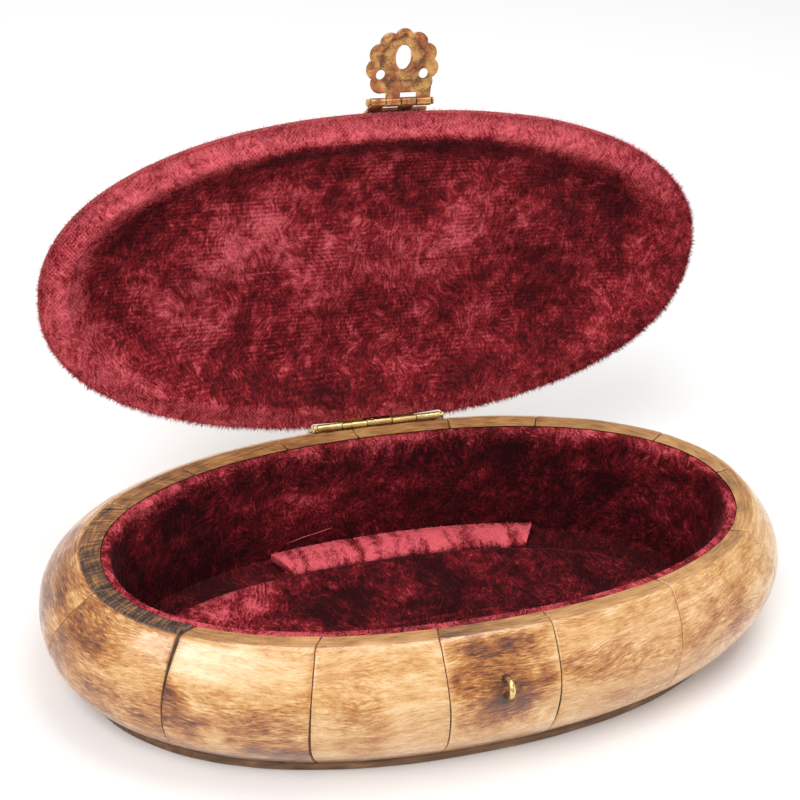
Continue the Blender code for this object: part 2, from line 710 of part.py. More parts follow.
def build_staple(b, base_staves):
    """A half loop of wire that stands square to the latched hasp, through the front stave."""
    foot, _, turn = latch()
    down = Vector((0, -math.cos(turn), -math.sin(turn)))
    out = Vector((0, -math.sin(turn), math.cos(turn)))
    route = [foot + down * STAPLE_RADIUS - out * STAPLE_LEG]
    for i in range(9):
        angle = math.pi * i / 8
        centre = foot + out * STAPLE_REACH
        route.append(centre + (down * math.cos(angle) + out * math.sin(angle)) * STAPLE_RADIUS)
    route.append(foot - down * STAPLE_RADIUS - out * STAPLE_LEG)
    staple = tube_part(b, "staple", route, STAPLE_WIRE, b.parts, b.brass)
    for side, sign in enumerate((1, -1)):
        middle = foot + down * STAPLE_RADIUS * sign
        ends = [middle - out * 2 * WALL, middle + out * WALL]
        drill = tube_part(b, f"staple_drill_{side + 1}", ends, STAPLE_WIRE + GAP, b.helpers, b.brass)
        for stave in base_staves:
            xs = [v.co.x for v in stave.data.vertices]
            ys = [v.co.y for v in stave.data.vertices]
            if min(ys) < 0 and min(xs) < LATCH_X < max(xs):
                combine(stave, drill, "DIFFERENCE")
    return staple


def tube_part(b, name, route, radius, collection, material):
    """A wire along a route, made a mesh with its caps welded."""
    curve = bpy.data.curves.new(name, "CURVE")
    curve.dimensions = "3D"
    curve.bevel_depth = radius
    curve.bevel_resolution = 2
    curve.use_fill_caps = True
    spline = curve.splines.new("POLY")
    spline.points.add(len(route) - 1)
    for point, place_at in zip(spline.points, route):
        point.co = (*place_at, 1.0)
    guide = bpy.data.objects.new(f"{name}_guide", curve)
    collection.objects.link(guide)
    bpy.context.view_layer.update()
    graph = bpy.context.evaluated_depsgraph_get()
    source = bpy.data.meshes.new_from_object(guide.evaluated_get(graph))
    bm = bmesh.new()
    bm.from_mesh(source)
    bpy.data.objects.remove(guide, do_unlink=True)
    return place(name, finished_mesh(name, bm), material, None, collection)


def main():
    clear_scene()
    builder = Builder()
    base_staves = build_base(builder)
    build_base_lining(builder)
    lid_staves = build_lid(builder)
    lining = builder.part("lid_lining", "lid", builder.velvet, stacked_mesh, lid_lining_levels())
    build_hinge(builder, base_staves, lid_staves, lining)
    build_hasp(builder)
    build_staple(builder, base_staves)
    bpy.context.view_layer.update()


main()
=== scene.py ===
"""Looks of the oval bone box: toasted bone staves, crimson velvet and darkened brass.

The lid and its hasp are described closed, as the part's source does, and LID_POSE opens them.
Lengths are in metres.
"""

import math

import bmesh
import bpy
import numpy as np
from mathutils import Matrix, Vector, noise


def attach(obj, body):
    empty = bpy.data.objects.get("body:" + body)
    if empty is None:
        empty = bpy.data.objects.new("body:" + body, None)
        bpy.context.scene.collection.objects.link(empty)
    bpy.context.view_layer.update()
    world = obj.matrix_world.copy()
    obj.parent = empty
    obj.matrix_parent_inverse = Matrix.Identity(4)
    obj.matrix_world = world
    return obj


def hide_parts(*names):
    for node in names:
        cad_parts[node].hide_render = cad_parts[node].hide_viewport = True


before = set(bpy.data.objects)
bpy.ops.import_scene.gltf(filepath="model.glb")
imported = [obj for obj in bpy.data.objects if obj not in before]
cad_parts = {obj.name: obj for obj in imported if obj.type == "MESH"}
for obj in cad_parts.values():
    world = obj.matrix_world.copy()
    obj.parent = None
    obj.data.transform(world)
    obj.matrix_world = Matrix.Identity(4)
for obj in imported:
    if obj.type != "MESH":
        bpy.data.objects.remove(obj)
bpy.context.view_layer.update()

# Sizes repeated from the part's source
LENGTH, WIDTH, BODY_HEIGHT, WAIST_SHARE = 0.165, 0.0904, 0.0294, 0.5476
RIM_LENGTH, RIM_WIDTH = 0.1496, 0.0717
FOOT_LENGTH, FOOT_WIDTH = 0.1494, 0.0798
WALL, FRONT_THINNER, PLATE_THICKNESS = 0.0043, 0.0012, 0.0021
OVAL_POWER, SWELL_POWER = 2.205, 2.2
GAP = 0.0003
BASE_SEAMS = (
    (-169.4, -177.0), (-142.2, -141.1), (-116.8, -115.9), (-97.8, -96.2), (-82.6, -82.3),
    (-59.3, -60.6), (-28.8, -25.5), (4.5, 5.5), (31.0, 31.5), (61.7, 61.0),
    (79.0, 79.0), (94.0, 94.0), (107.2, 106.5), (128.2, 128.5), (149.5, 150.0),
)
LINING, LINING_DROP, LINING_LEAN = 0.0016, 0.0006, 0.0022
PAD_LENGTH, PAD_WIDTH, PAD_THICKNESS, PAD_CENTRE = 0.122, 0.0440, 0.0020, (-0.0032, -0.0036)
STRIP_DEPTH, STRIP_THICKNESS, STRIP_ANGLES = 0.0080, 0.0022, (58.0, 112.0)
LID_LENGTH, LID_WIDTH, LID_DOME, LID_BORDER = 0.1514, 0.0742, 0.0136, 0.0200
LID_RIM_FACE, LID_THICKNESS, LID_STAVES, LID_SLABS = 0.0052, 0.0044, 14, 4
OPEN_ANGLE = 95.4
VELVET, ROLL_PROUD, ROLL_INSET = 0.0008, 0.0006, 0.0048
LID_LINING_INSET, RECESS_DEPTH = 0.0006, 0.0070
HINGE_WIDTH, HINGE_OUT, HINGE_RISE, HINGE_BARREL = 0.0300, 0.00045, 0.0003, 0.00085
HINGE_LEAF, HINGE_LEAF_DEPTH = 0.0005, 0.0034
LATCH_X, HASP_OUT, HASP_DROP, HASP_BARREL = -0.0004, 0.00235, 0.0009, 0.00095
HASP_WIDTH, HASP_REACH, HASP_START, HASP_SHEET = 0.0158, 0.0154, 0.0026, 0.0006
HASP_LOBES, HASP_LOBE_DEPTH, HASP_KNUCKLES, HASP_KNUCKLE_WIDTH = 9, 0.0009, 4, 0.0134
HASP_EYE_OFFSET, HASP_EYE_REACH, HASP_EYE_RADIUS = 0.0047, 0.0059, 0.00105
SLOT_LENGTH, SLOT_WIDTH = 0.0051, 0.0034
LATCH_CLEARANCE, STAPLE_DROP = 0.0012, 0.0075
STAPLE_RADIUS, STAPLE_WIRE, STAPLE_REACH, STAPLE_LEG = 0.00165, 0.00055, 0.0010, 0.0030

WAIST_HEIGHT = WAIST_SHARE * BODY_HEIGHT
STAVE_FOOT = PLATE_THICKNESS + GAP
INNER_SHIFT = -FRONT_THINNER / 2
LID_FACE_Z = BODY_HEIGHT + GAP + ROLL_PROUD
LID_BASE_Z = LID_FACE_Z + VELVET + GAP
HINGE_AXIS = Vector((0.0, RIM_WIDTH / 2 + HINGE_OUT, BODY_HEIGHT + HINGE_RISE))
HASP_AXIS = Vector((LATCH_X, -LID_WIDTH / 2 - HASP_OUT, LID_BASE_Z - HASP_DROP))
LID_POSE = (
    Matrix.Translation(HINGE_AXIS)
    @ Matrix.Rotation(-math.radians(OPEN_ANGLE), 4, "X")
    @ Matrix.Translation(-HINGE_AXIS)
)

# The photograph's camera
CAMERA_PLACE = (-0.11621, -0.24006, 0.23402)
CAMERA_PITCH, CAMERA_YAW, CAMERA_ROLL = 33.4, 23.61, 7.18
CAMERA_LENS, SENSOR = 71.13, 36.0


# Geometry helpers

def oval(half_x, half_y, angle):
    """Points of the superellipse; every argument may be an array, angles in degrees."""
    turn = np.radians(angle)
    cos, sin = np.cos(turn), np.sin(turn)
    power = 2 / OVAL_POWER
    x = half_x * np.sign(cos) * np.abs(cos) ** power
    y = half_y * np.sign(sin) * np.abs(sin) ** power
    return x, y


def arc_table(half_x, half_y, start, end, count=600):
    """Angles and the lengths along the oval at which they lie."""
    angles = np.linspace(start, end, count)
    x, y = oval(half_x, half_y, angles)
    steps = np.hypot(np.diff(x), np.diff(y))
    return angles, np.concatenate(([0.0], np.cumsum(steps)))


def wall_half(z):
    """Half sizes of the wall's outside at a height, which swells out at the waist."""
    if z >= WAIST_HEIGHT:
        end_x, end_y = RIM_LENGTH / 2, RIM_WIDTH / 2
        share = (z - WAIST_HEIGHT) / (BODY_HEIGHT - WAIST_HEIGHT)
    else:
        end_x, end_y = FOOT_LENGTH / 2, FOOT_WIDTH / 2
        share = min(1.0, (WAIST_HEIGHT - z) / (WAIST_HEIGHT - STAVE_FOOT))
    swell = 1 - share**SWELL_POWER
    return end_x + (LENGTH / 2 - end_x) * swell, end_y + (WIDTH / 2 - end_y) * swell


def dome_z(inset, border, height):
    """How high a dome has risen at an inset from its edge, of a border this wide."""
    return height * (1 - (1 - inset / border) ** 2)


def oval_share(x, y, half_x, half_y):
    """How far out of the superellipse's middle a point is: 1 on its edge."""
    total = (np.abs(x) / half_x) ** OVAL_POWER + (np.abs(y) / half_y) ** OVAL_POWER
    return total ** (1 / OVAL_POWER)


def rings(half_x, half_y, section, angles, centre=(0.0, 0.0)):
    """Points by (section corner, angle) of a section of (inset, z) swept round the oval."""
    inset, z = np.array(section, dtype=float).T[:, :, None]
    x, y = oval(half_x - inset, half_y - inset, np.asarray(angles)[None, :])
    return np.stack((x + centre[0], y + centre[1], z + 0 * x), axis=-1)


def resample(points, spacing):
    """A closed section's corners with more points between them, at about this spacing."""
    result = []
    for first, last in zip(points, points[1:] + points[:1]):
        first, last = np.array(first), np.array(last)
        count = max(1, round(float(np.linalg.norm((last - first)[1:3])) / spacing))
        result += [first + (last - first) * i / count for i in range(count)]
    return np.array(result)


def section_normals(section):
    """Outward normals (half size, z) of a closed section that runs clockwise round its solid."""
    ahead = np.roll(section, -1, axis=0) - np.roll(section, 1, axis=0)
    normal = np.stack((-ahead[:, 2], ahead[:, 1]), axis=1)
    normal /= np.linalg.norm(normal, axis=1)[:, None] + 1e-12
    half, z = section[:, 1], section[:, 2]
    area = np.sum(half * np.roll(z, -1) - np.roll(half, -1) * z)
    return normal if area < 0 else -normal


def linked(name, mesh, pose):
    """An object of the mesh, in the scene."""
    obj = bpy.data.objects.new(name, mesh)
    bpy.context.scene.collection.objects.link(obj)
    if pose is not None:
        obj.matrix_world = pose
    return obj


def mesh_object(name, verts, faces, materials, attributes=None, smooth=True, pose=None):
    """An object of vertices and faces, with point attributes by name."""
    mesh = bpy.data.meshes.new(name)
    mesh.from_pydata([tuple(v) for v in verts], [], faces)
    for key, values in (attributes or {}).items():
        values = np.asarray(values, dtype=np.float32)
        kind = "FLOAT_VECTOR" if values.ndim == 2 else "FLOAT"
        layer = mesh.attributes.new(key, kind, "POINT")
        layer.data.foreach_set("vector" if values.ndim == 2 else "value", values.ravel())
    for material in materials:
        mesh.materials.append(material)
    if smooth:
        mesh.shade_smooth()
    return linked(name, mesh, pose)


def settle(obj, body, node=None):
    """The piece rides on a body and may stand for a CAD node, whose part is hidden."""
    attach(obj, body)
    if node:
        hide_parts(node)


def grid_faces(rows, columns, closed_rows=False):
    """Quads between rows of vertices, each row a closed loop."""
    faces = []
    for i in range(rows if closed_rows else rows - 1):
        here, there = i * columns, (i + 1) % rows * columns
        for k in range(columns):
            after = (k + 1) % columns
            faces.append((here + k, here + after, there + after, there + k))
    return faces


def capped_grid(rows, columns):
    """The same quads, with a face over the first row and one over the last."""
    last = (rows - 1) * columns
    caps = [tuple(range(columns)), tuple(last + k for k in reversed(range(columns)))]
    return grid_faces(rows, columns) + caps


def fix_normals(obj, sharp_degrees=None):
    """Turns the faces outwards and marks the edges sharper than an angle."""
    bm = bmesh.new()
    bm.from_mesh(obj.data)
    bmesh.ops.recalc_face_normals(bm, faces=bm.faces)
    if bm.calc_volume(signed=True) < 0:
        bmesh.ops.reverse_faces(bm, faces=bm.faces)
    bm.to_mesh(obj.data)
    bm.free()
    if sharp_degrees:
        obj.data.set_sharp_from_angle(angle=math.radians(sharp_degrees))


def apply_modifiers(obj):
    bpy.context.view_layer.update()
    graph = bpy.context.evaluated_depsgraph_get()
    mesh = bpy.data.meshes.new_from_object(obj.evaluated_get(graph))
    obj.modifiers.clear()
    obj.data = mesh


def combine(obj, operation, others):
    """Joins the other objects to obj, or cuts them out of it, and removes them."""
    for other in others:
        modifier = obj.modifiers.new("combine", "BOOLEAN")
        modifier.operation = operation
        modifier.object = other
        modifier.solver = "EXACT"
    apply_modifiers(obj)
    for other in others:
        bpy.data.objects.remove(other, do_unlink=True)


def block(x_span, y_span, z_span, material, pose):
    corners = [(x, y, z) for x in x_span for y in y_span for z in z_span]
    faces = [(0, 1, 3, 2), (4, 6, 7, 5), (0, 4, 5, 1), (2, 3, 7, 6), (0, 2, 6, 4), (1, 5, 7, 3)]
    obj = mesh_object("block", corners, faces, [material], smooth=False, pose=pose)
    fix_normals(obj)
    return obj


def wave(seed, *place):
    """Smooth noise between about -1 and 1."""
    padded = (list(place) + [0.0, 0.0])[:2]
    return noise.noise(Vector((padded[0], padded[1], 17.3 * seed)))


# Materials

class Graph:
    """Short calls for building a material's node tree."""

    def __init__(self, name):
        self.material = bpy.data.materials.new(name)
        self.material.use_nodes = True
        self.tree = self.material.node_tree
        self.shader = self.tree.nodes["Principled BSDF"]

    def add(self, kind, inputs, **settings):
        node = self.tree.nodes.new(kind)
        for key, value in settings.items():
            setattr(node, key, value)
        for key, value in inputs.items():
            self.set(node.inputs[key], value)
        return node

    def set(self, socket, value):
        if isinstance(value, bpy.types.NodeSocket):
            self.tree.links.new(value, socket)
        else:
            socket.default_value = value

    def attribute(self, name, output="Fac"):
        return self.add("ShaderNodeAttribute", {}, attribute_name=name).outputs[output]

    def position(self):
        return self.add("ShaderNodeTexCoord", {}).outputs["Object"]

    def vector_math(self, operation, first, second):
        return self.add("ShaderNodeVectorMath", {0: first, 1: second}, operation=operation).outputs[0]

    def scaled(self, vector, scale):
        return self.vector_math("MULTIPLY", vector, scale)

    def noise(self, vector, scale=1.0, detail=3.0, rough=0.5, distortion=0.0):
        inputs = {"Vector": vector, "Scale": scale, "Detail": detail, "Roughness": rough}
        inputs["Distortion"] = distortion
        return self.add("ShaderNodeTexNoise", inputs).outputs["Fac"]

    def math(self, operation, first, second=0.0, clamp=False):
        node = self.add("ShaderNodeMath", {0: first, 1: second}, operation=operation, use_clamp=clamp)
        return node.outputs[0]

    def times(self, first, second, clamp=False):
        return self.math("MULTIPLY", first, second, clamp)

    def total(self, *values, clamp=False):
        """The sum of the values, from 0 to 1 where clamp is set."""
        result = values[0]
        for value in values[1:-1]:
            result = self.math("ADD", result, value)
        return self.math("ADD", result, values[-1], clamp)

    def centred(self, noise_value, factor):
        """A noise's deviation from its middle, times a factor."""
        return self.times(self.math("SUBTRACT", noise_value, 0.5), factor)

    def spread(self, value, low, high, to_low=0.0, to_high=1.0):
        """Maps a range to another, smoothly and clamped."""
        inputs = {"Value": value, "From Min": low, "From Max": high, "To Min": to_low}
        inputs["To Max"] = to_high
        return self.add("ShaderNodeMapRange", inputs, interpolation_type="SMOOTHSTEP").outputs["Result"]

    def mix(self, share, first, second):
        """Mixes two colours, whose sockets come after those for numbers and vectors."""
        inputs = {0: share, 6: colour(first), 7: colour(second)}
        return self.add("ShaderNodeMix", inputs, data_type="RGBA").outputs[2]

    def ramp(self, value, stops):
        node = self.add("ShaderNodeValToRGB", {"Fac": value})
        elements = node.color_ramp.elements
        while len(elements) < len(stops):
            elements.new(0.5)
        for element, (place, tint) in zip(elements, stops):
            element.position = place
            element.color = (*tint, 1.0)
        return node.outputs["Color"]

    def bump(self, height, strength, distance):
        inputs = {"Height": height, "Strength": strength, "Distance": distance}
        return self.add("ShaderNodeBump", inputs).outputs["Normal"]

    def finish(self, **inputs):
        for key, value in inputs.items():
            self.set(self.shader.inputs[key.replace("_", " ")], colour(value))
        return self.material


def colour(value):
    return (*value, 1.0) if isinstance(value, tuple) and len(value) == 3 else value


CREAM = (0.80, 0.54, 0.29)
STRAW = (0.665, 0.385, 0.155)
GOLD = (0.53, 0.245, 0.072)
CARAMEL = (0.37, 0.130, 0.032)
BURNT = (0.165, 0.046, 0.015)
CHAR = (0.045, 0.020, 0.012)
VIOLET_GREY = (0.235, 0.120, 0.090)
TOASTING = ((0.0, CREAM), (0.18, STRAW), (0.34, GOLD), (0.54, CARAMEL), (0.78, BURNT), (1.0, CHAR))
SAWN_TOASTING = (
    (0.0, (0.70, 0.46, 0.23)), (0.33, (0.52, 0.27, 0.095)), (0.58, (0.27, 0.12, 0.042)),
    (0.80, (0.075, 0.045, 0.030)), (1.0, (0.022, 0.016, 0.013)),
)
STRIPE_SLANT = -58


def bone_material():
    """Polished bone: short wavy grain, pores, and toasting from the meshes' attributes."""
    g = Graph("toasted_bone_face")
    place = g.attribute("grain", "Vector")
    toast = g.attribute("toast")
    violet = g.attribute("violet")
    swirl = g.noise(g.scaled(place, (26, 60, 3)), detail=1)
    ripple = g.noise(g.scaled(place, (330, 700, 3)), detail=2)
    rise = g.total(g.centred(swirl, 0.011), g.centred(ripple, 0.0009))
    offset = g.add("ShaderNodeCombineXYZ", {"Y": rise})
    place = g.vector_math("ADD", place, offset.outputs[0])
    streaks = g.noise(g.scaled(place, (430, 2900, 3)), detail=4, rough=0.62)
    fibres = g.noise(g.scaled(place, (1500, 9500, 3)), detail=2, rough=0.6)
    bands = g.noise(g.scaled(place, (80, 700, 3)), detail=3)
    blotches = g.noise(g.scaled(place, (130, 230, 3)), detail=5, rough=0.62)
    strength = g.spread(toast, 0.15, 0.50, 0.80, 1.75)
    level = g.total(
        toast, g.times(g.centred(streaks, 1.0), strength), g.times(g.centred(blotches, 0.75), strength),
        g.centred(bands, 0.45), g.centred(fibres, 0.35), clamp=True,
    )
    tint = g.ramp(level, TOASTING)
    haze = g.spread(g.noise(g.scaled(place, (150, 900, 3)), detail=3), 0.30, 0.62)
    tint = g.mix(g.times(violet, haze, clamp=True), tint, VIOLET_GREY)
    pores = g.noise(g.scaled(place, (1000, 5000, 3)), detail=1)
    pore_mask = g.times(g.spread(pores, 0.62, 0.72), g.spread(level, 0.20, 0.60, 0.25, 0.9))
    tint = g.mix(pore_mask, tint, BURNT)
    height = g.total(g.times(streaks, 0.5), g.times(fibres, 0.25))
    height = g.math("SUBTRACT", height, g.times(pore_mask, 0.5))
    rough = g.spread(blotches, 0.35, 0.65, 0.22, 0.40)
    return g.finish(
        Base_Color=tint, Roughness=rough, Normal=g.bump(height, 0.35, 0.00010),
        Coat_Weight=0.35, Coat_Roughness=0.10,
    )


def sawn_material():
    """The staves' sawn tops: grain along the rim, and slanting stripes where they are charred."""
    g = Graph("toasted_bone_sawn")
    place = g.attribute("grain", "Vector")
    toast = g.attribute("toast")
    slanting = g.attribute("violet")
    turned = {"Vector": place, "Angle": math.radians(STRIPE_SLANT)}
    slant = g.add("ShaderNodeVectorRotate", turned, rotation_type="Z_AXIS")
    stripes = g.noise(g.scaled(slant.outputs[0], (200, 1400, 3)), detail=3, rough=0.6)
    along = g.noise(g.scaled(place, (220, 2200, 3)), detail=4, rough=0.65)
    grit = g.noise(g.scaled(place, (4200, 4200, 3)), detail=2)
    level = g.total(
        toast, g.times(g.centred(stripes, 1.5), slanting), g.centred(along, 0.85), g.centred(grit, 0.2),
        clamp=True,
    )
    height = g.total(along, g.times(grit, 0.4))
    tint = g.ramp(level, SAWN_TOASTING)
    return g.finish(Base_Color=tint, Roughness=0.42, Normal=g.bump(height, 0.6, 0.00015))


def dark_fill_material():
    g = Graph("dark_fill")
    place = g.position()
    lumps = g.noise(place, 900, detail=4)
    stops = ((0.3, (0.018, 0.010, 0.007)), (0.62, (0.075, 0.04, 0.025)), (0.8, (0.22, 0.13, 0.08)))
    tint = g.ramp(lumps, stops)
    return g.finish(Base_Color=tint, Roughness=0.75, Normal=g.bump(lumps, 0.8, 0.0003))


def wood_material():
    g = Graph("brown_wood_board")
    place = g.position()
    grain = g.noise(g.scaled(place, (60, 900, 900)), detail=4, rough=0.65)
    patches = g.noise(place, 90, detail=2)
    level = g.total(g.times(grain, 0.7), g.times(patches, 0.3))
    stops = ((0.3, (0.05, 0.022, 0.010)), (0.55, (0.20, 0.095, 0.04)), (0.75, (0.40, 0.22, 0.10)))
    tint = g.ramp(level, stops)
    return g.finish(Base_Color=tint, Roughness=0.55, Normal=g.bump(grain, 0.5, 0.0002))


def brass_material(name, bright, ruddy, dark, patina, roughness):
    """Pressed brass: bright where worn, ruddy in clouds, and dark in its hollows."""
    g = Graph(name)
    place = g.position()
    blotches = g.noise(place, 420, detail=4, rough=0.6)
    clouds = g.noise(place, 260, detail=3, rough=0.6, distortion=0.5)
    specks = g.noise(place, 2600, detail=3)
    scratches = g.noise(g.scaled(place, (900, 9000, 900)), detail=2)
    worn = g.attribute("worn")
    level = g.total(blotches, g.centred(specks, 0.5), patina)
    level = g.math("SUBTRACT", level, g.times(worn, 0.30))
    tint = g.mix(g.spread(clouds, 0.42, 0.60), bright, ruddy)
    tint = g.mix(g.spread(level, 0.42, 0.78, 0.0, 0.9), tint, dark)
    rough = g.spread(level, 0.3, 0.8, roughness, roughness + 0.3)
    metal = g.spread(level, 0.45, 0.95, 1.0, 0.55)
    height = g.total(g.times(specks, 0.5), g.times(scratches, 0.35), g.times(clouds, 0.8))
    normal = g.bump(height, 0.6, 0.00012)
    return g.finish(Base_Color=tint, Roughness=rough, Metallic=metal, Normal=normal)


WEAVE_ROWS, WEAVE_COLUMNS = 0.00098, 0.00082


def velvet_material(name, deep, lit, bright, woven=False):
    """Short pile: tone comes from the meshes and holds the nap's lie with painted light and shade; tip
    is how far up a fibre a point is, and the tips are painted lighter, a painted highlight.

    A woven one shows its backing's rows, and a net of stitches where weave is 1.
    """
    g = Graph(name)
    place = g.position()
    tone = g.attribute("tone")
    tip = g.attribute("tip")
    bend = g.add("ShaderNodeTexNoise", {"Vector": place, "Scale": 70.0, "Detail": 2.0}).outputs["Color"]
    bend = g.vector_math("SUBTRACT", bend, (0.5, 0.5, 0.5))
    bent = g.vector_math("ADD", g.scaled(bend, (0.016, 0.016, 0.016)), place)
    clumps = g.noise(g.scaled(bent, (1500, 520, 900)), detail=3, rough=0.6)
    fibres = g.noise(place, 2600, detail=3)
    soft = g.noise(place, 300, detail=4, rough=0.6)
    # Painted highlight: fibre tips are lighter than their roots
    level = g.total(
        tone, g.centred(clumps, 1.25), g.centred(fibres, 0.8), g.centred(soft, 0.9), g.times(tip, 0.20))
    if woven:
        weave = g.attribute("weave")
        axes = g.add("ShaderNodeSeparateXYZ", {"Vector": place}).outputs
        rows = g.math("SINE", g.times(axes[1], 2 * math.pi / WEAVE_ROWS))
        columns = g.math("SINE", g.times(axes[0], 2 * math.pi / WEAVE_COLUMNS))
        shown = g.spread(g.noise(place, 110, detail=3), 0.38, 0.62)
        rib = g.times(g.times(rows, 0.085), g.math("SUBTRACT", 1.0, weave))
        net = g.times(g.times(g.times(rows, columns), 0.13), weave)
        level = g.total(level, g.times(g.total(rib, net), shown))
    level = g.total(level, 0.0, clamp=True)
    dim = tuple((a + b) / 2.6 for a, b in zip(deep, lit))
    tint = g.ramp(level, ((0.0, deep), (0.30, dim), (0.52, lit), (1.0, bright)))
    return g.finish(
        Base_Color=tint, Roughness=0.8, Normal=g.bump(clumps, 0.8, 0.0006), Specular_IOR_Level=0.12,
        Sheen_Weight=0.12, Sheen_Roughness=0.3, Sheen_Tint=(1.0, 0.32, 0.36),
    )


BONE = bone_material()
SAWN = sawn_material()
DARK_FILL = dark_fill_material()
WOOD = wood_material()
BRASS_DARK = brass_material(
    "brass_dark", (0.66, 0.36, 0.13), (0.46, 0.165, 0.075), (0.13, 0.050, 0.030), 0.04, 0.30)
BRASS_BRIGHT = brass_material(
    "brass_bright", (0.80, 0.60, 0.27), (0.66, 0.44, 0.17), (0.16, 0.09, 0.035), -0.10, 0.25)
VELVET_LID = velvet_material(
    "crimson_velvet_lid", (0.050, 0.0030, 0.0055), (0.30, 0.017, 0.024), (0.78, 0.14, 0.17), woven=True)
VELVET_BASE = velvet_material(
    "crimson_velvet_base", (0.028, 0.0016, 0.0032), (0.24, 0.013, 0.020), (0.80, 0.13, 0.16))


# Bone staves

BASE_SPAN = (STAVE_FOOT, BODY_HEIGHT)
LID_SPAN = (LID_BASE_Z, LID_BASE_Z + LID_DOME)
EDGE_ROUND = 0.00035
EDGE_STEPS = (0.0, 0.12, 0.3, 0.55)
# EDGE_HIGHLIGHT: how much paler the rounded ends of a stave are painted, a painted highlight
EDGE_HIGHLIGHT = 0.09
GRAIN_SPACING = 0.00062
HAND_WAVE, FINE_WAVE = 0.00010, 0.00002
RING_BAND = 0.00012
RIM_EDGE_REACH, RIM_EDGE_DROP, RIM_EDGE_STEPS, WALL_STEPS = 0.0011, 0.0008, 6, 14


def seam_angle(seam, share):
    """A seam's angle at a share of the way from its top down to its foot."""
    top, foot, bow = seam
    return top + (foot - top) * share + bow * 4 * share * (1 - share)


def degree_length(half_x, half_y, angle):
    """The oval's length over one degree about an angle."""
    x0, y0 = oval(half_x, half_y, angle - 0.5)
    x1, y1 = oval(half_x, half_y, angle + 0.5)
    return np.hypot(x1 - x0, y1 - y0)


def side_angles(section, share, side, seam, half_gap, seed):
    """Where a stave's side crosses each point of its section, a half gap off its seam."""
    angle = seam_angle(seam, share)
    shift = np.array([half_gap(s) + 0.00004 * wave(seed, s * 9, side * 3) for s in share])
    return angle + side * shift / degree_length(section[:, 0], section[:, 1], angle)


def cross_lines(length):
    """Where a stave's cross lines lie along it, close together on its rounded ends."""
    ends = EDGE_ROUND * np.array(EDGE_STEPS)
    count = max(6, round((length - 2 * EDGE_ROUND) / GRAIN_SPACING))
    middle = np.linspace(EDGE_ROUND, length - EDGE_ROUND, count + 1)
    return np.concatenate((ends, middle, length - ends[::-1]))


def stave(name, section, start, end, span, seed, look, shape, pose=None, ring_test=None):
    """A fine stave: rounded, slightly wavy edges, hand-ground faces, toasted in patches.

    section is a closed list of (half x, half y, z, shift in y). start and end give a seam's
    (angle at the top of span, angle at its foot, bow between them) in degrees, and a function
    for its half gap by height share. shape may move a vertex, which leaves room for the hinge.
    """
    section = resample(section, GRAIN_SPACING)
    normals = section_normals(section)
    foot, top = span
    share = (top - section[:, 2]) / (top - foot)
    first = side_angles(section, share, 1, *start, seed)
    last = side_angles(section, share, -1, *end, seed)
    outer = int(np.argmax(section[:, 0]))
    table, lengths = arc_table(section[outer, 0], section[outer, 1], first[outer], last[outer])
    length = lengths[-1]
    along = cross_lines(length)
    fractions = (np.interp(along, lengths, table) - first[outer]) / (last[outer] - first[outer])
    travelled = np.concatenate(([0.0], np.cumsum(np.hypot(*np.diff(section[:, 1:3], axis=0).T))))
    verts, grain, toast, violet = [], [], [], []
    for distance, fraction in zip(along, fractions):
        near = min(distance, length - distance)
        dip = 0.0
        if near < EDGE_ROUND:
            dip = EDGE_ROUND - math.sqrt(EDGE_ROUND**2 - (EDGE_ROUND - near) ** 2)
        angle = first + (last - first) * fraction
        for k, (half_x, half_y, z, shift) in enumerate(section):
            uneven = HAND_WAVE * wave(seed, distance * 110, travelled[k] * 110)
            uneven += FINE_WAVE * wave(seed + 5, distance * 500, travelled[k] * 900)
            out, up = normals[k] * (uneven - dip)
            x, y = oval(half_x + out, half_y + out, angle[k])
            verts.append(shape(float(x), float(y) + shift, z + up))
            tone, haze = look(distance / length, 1 - share[k], k)
            grain.append((distance, travelled[k], seed))
            # Painted highlight: the tone is paler over the rounded edge at each end of a stave
            toast.append(tone - EDGE_HIGHLIGHT * max(0.0, 1 - near / EDGE_ROUND))
            violet.append(haze)
    faces = capped_grid(len(along), len(section))
    attributes = {"grain": grain, "toast": toast, "violet": violet}
    obj = mesh_object(name, verts, faces, [BONE, SAWN], attributes, pose=pose)
    fix_normals(obj, 50)
    if ring_test:
        for polygon in obj.data.polygons:
            polygon.material_index = int(ring_test(polygon))
    return obj


def patch(u, v, centre_u, centre_v, radius_u, radius_v, seed):
    """A soft-edged toasted patch, 1 in its middle, with a ragged border."""
    ragged = 0.35 * wave(seed, u * 5, v * 5) + 0.2 * wave(seed + 1, u * 14, v * 16)
    far = math.hypot((u - centre_u) / radius_u, (v - centre_v) / radius_v) + ragged
    fade = min(max((1.25 - far) / 0.7, 0.0), 1.0)
    return fade * fade * (3 - 2 * fade)
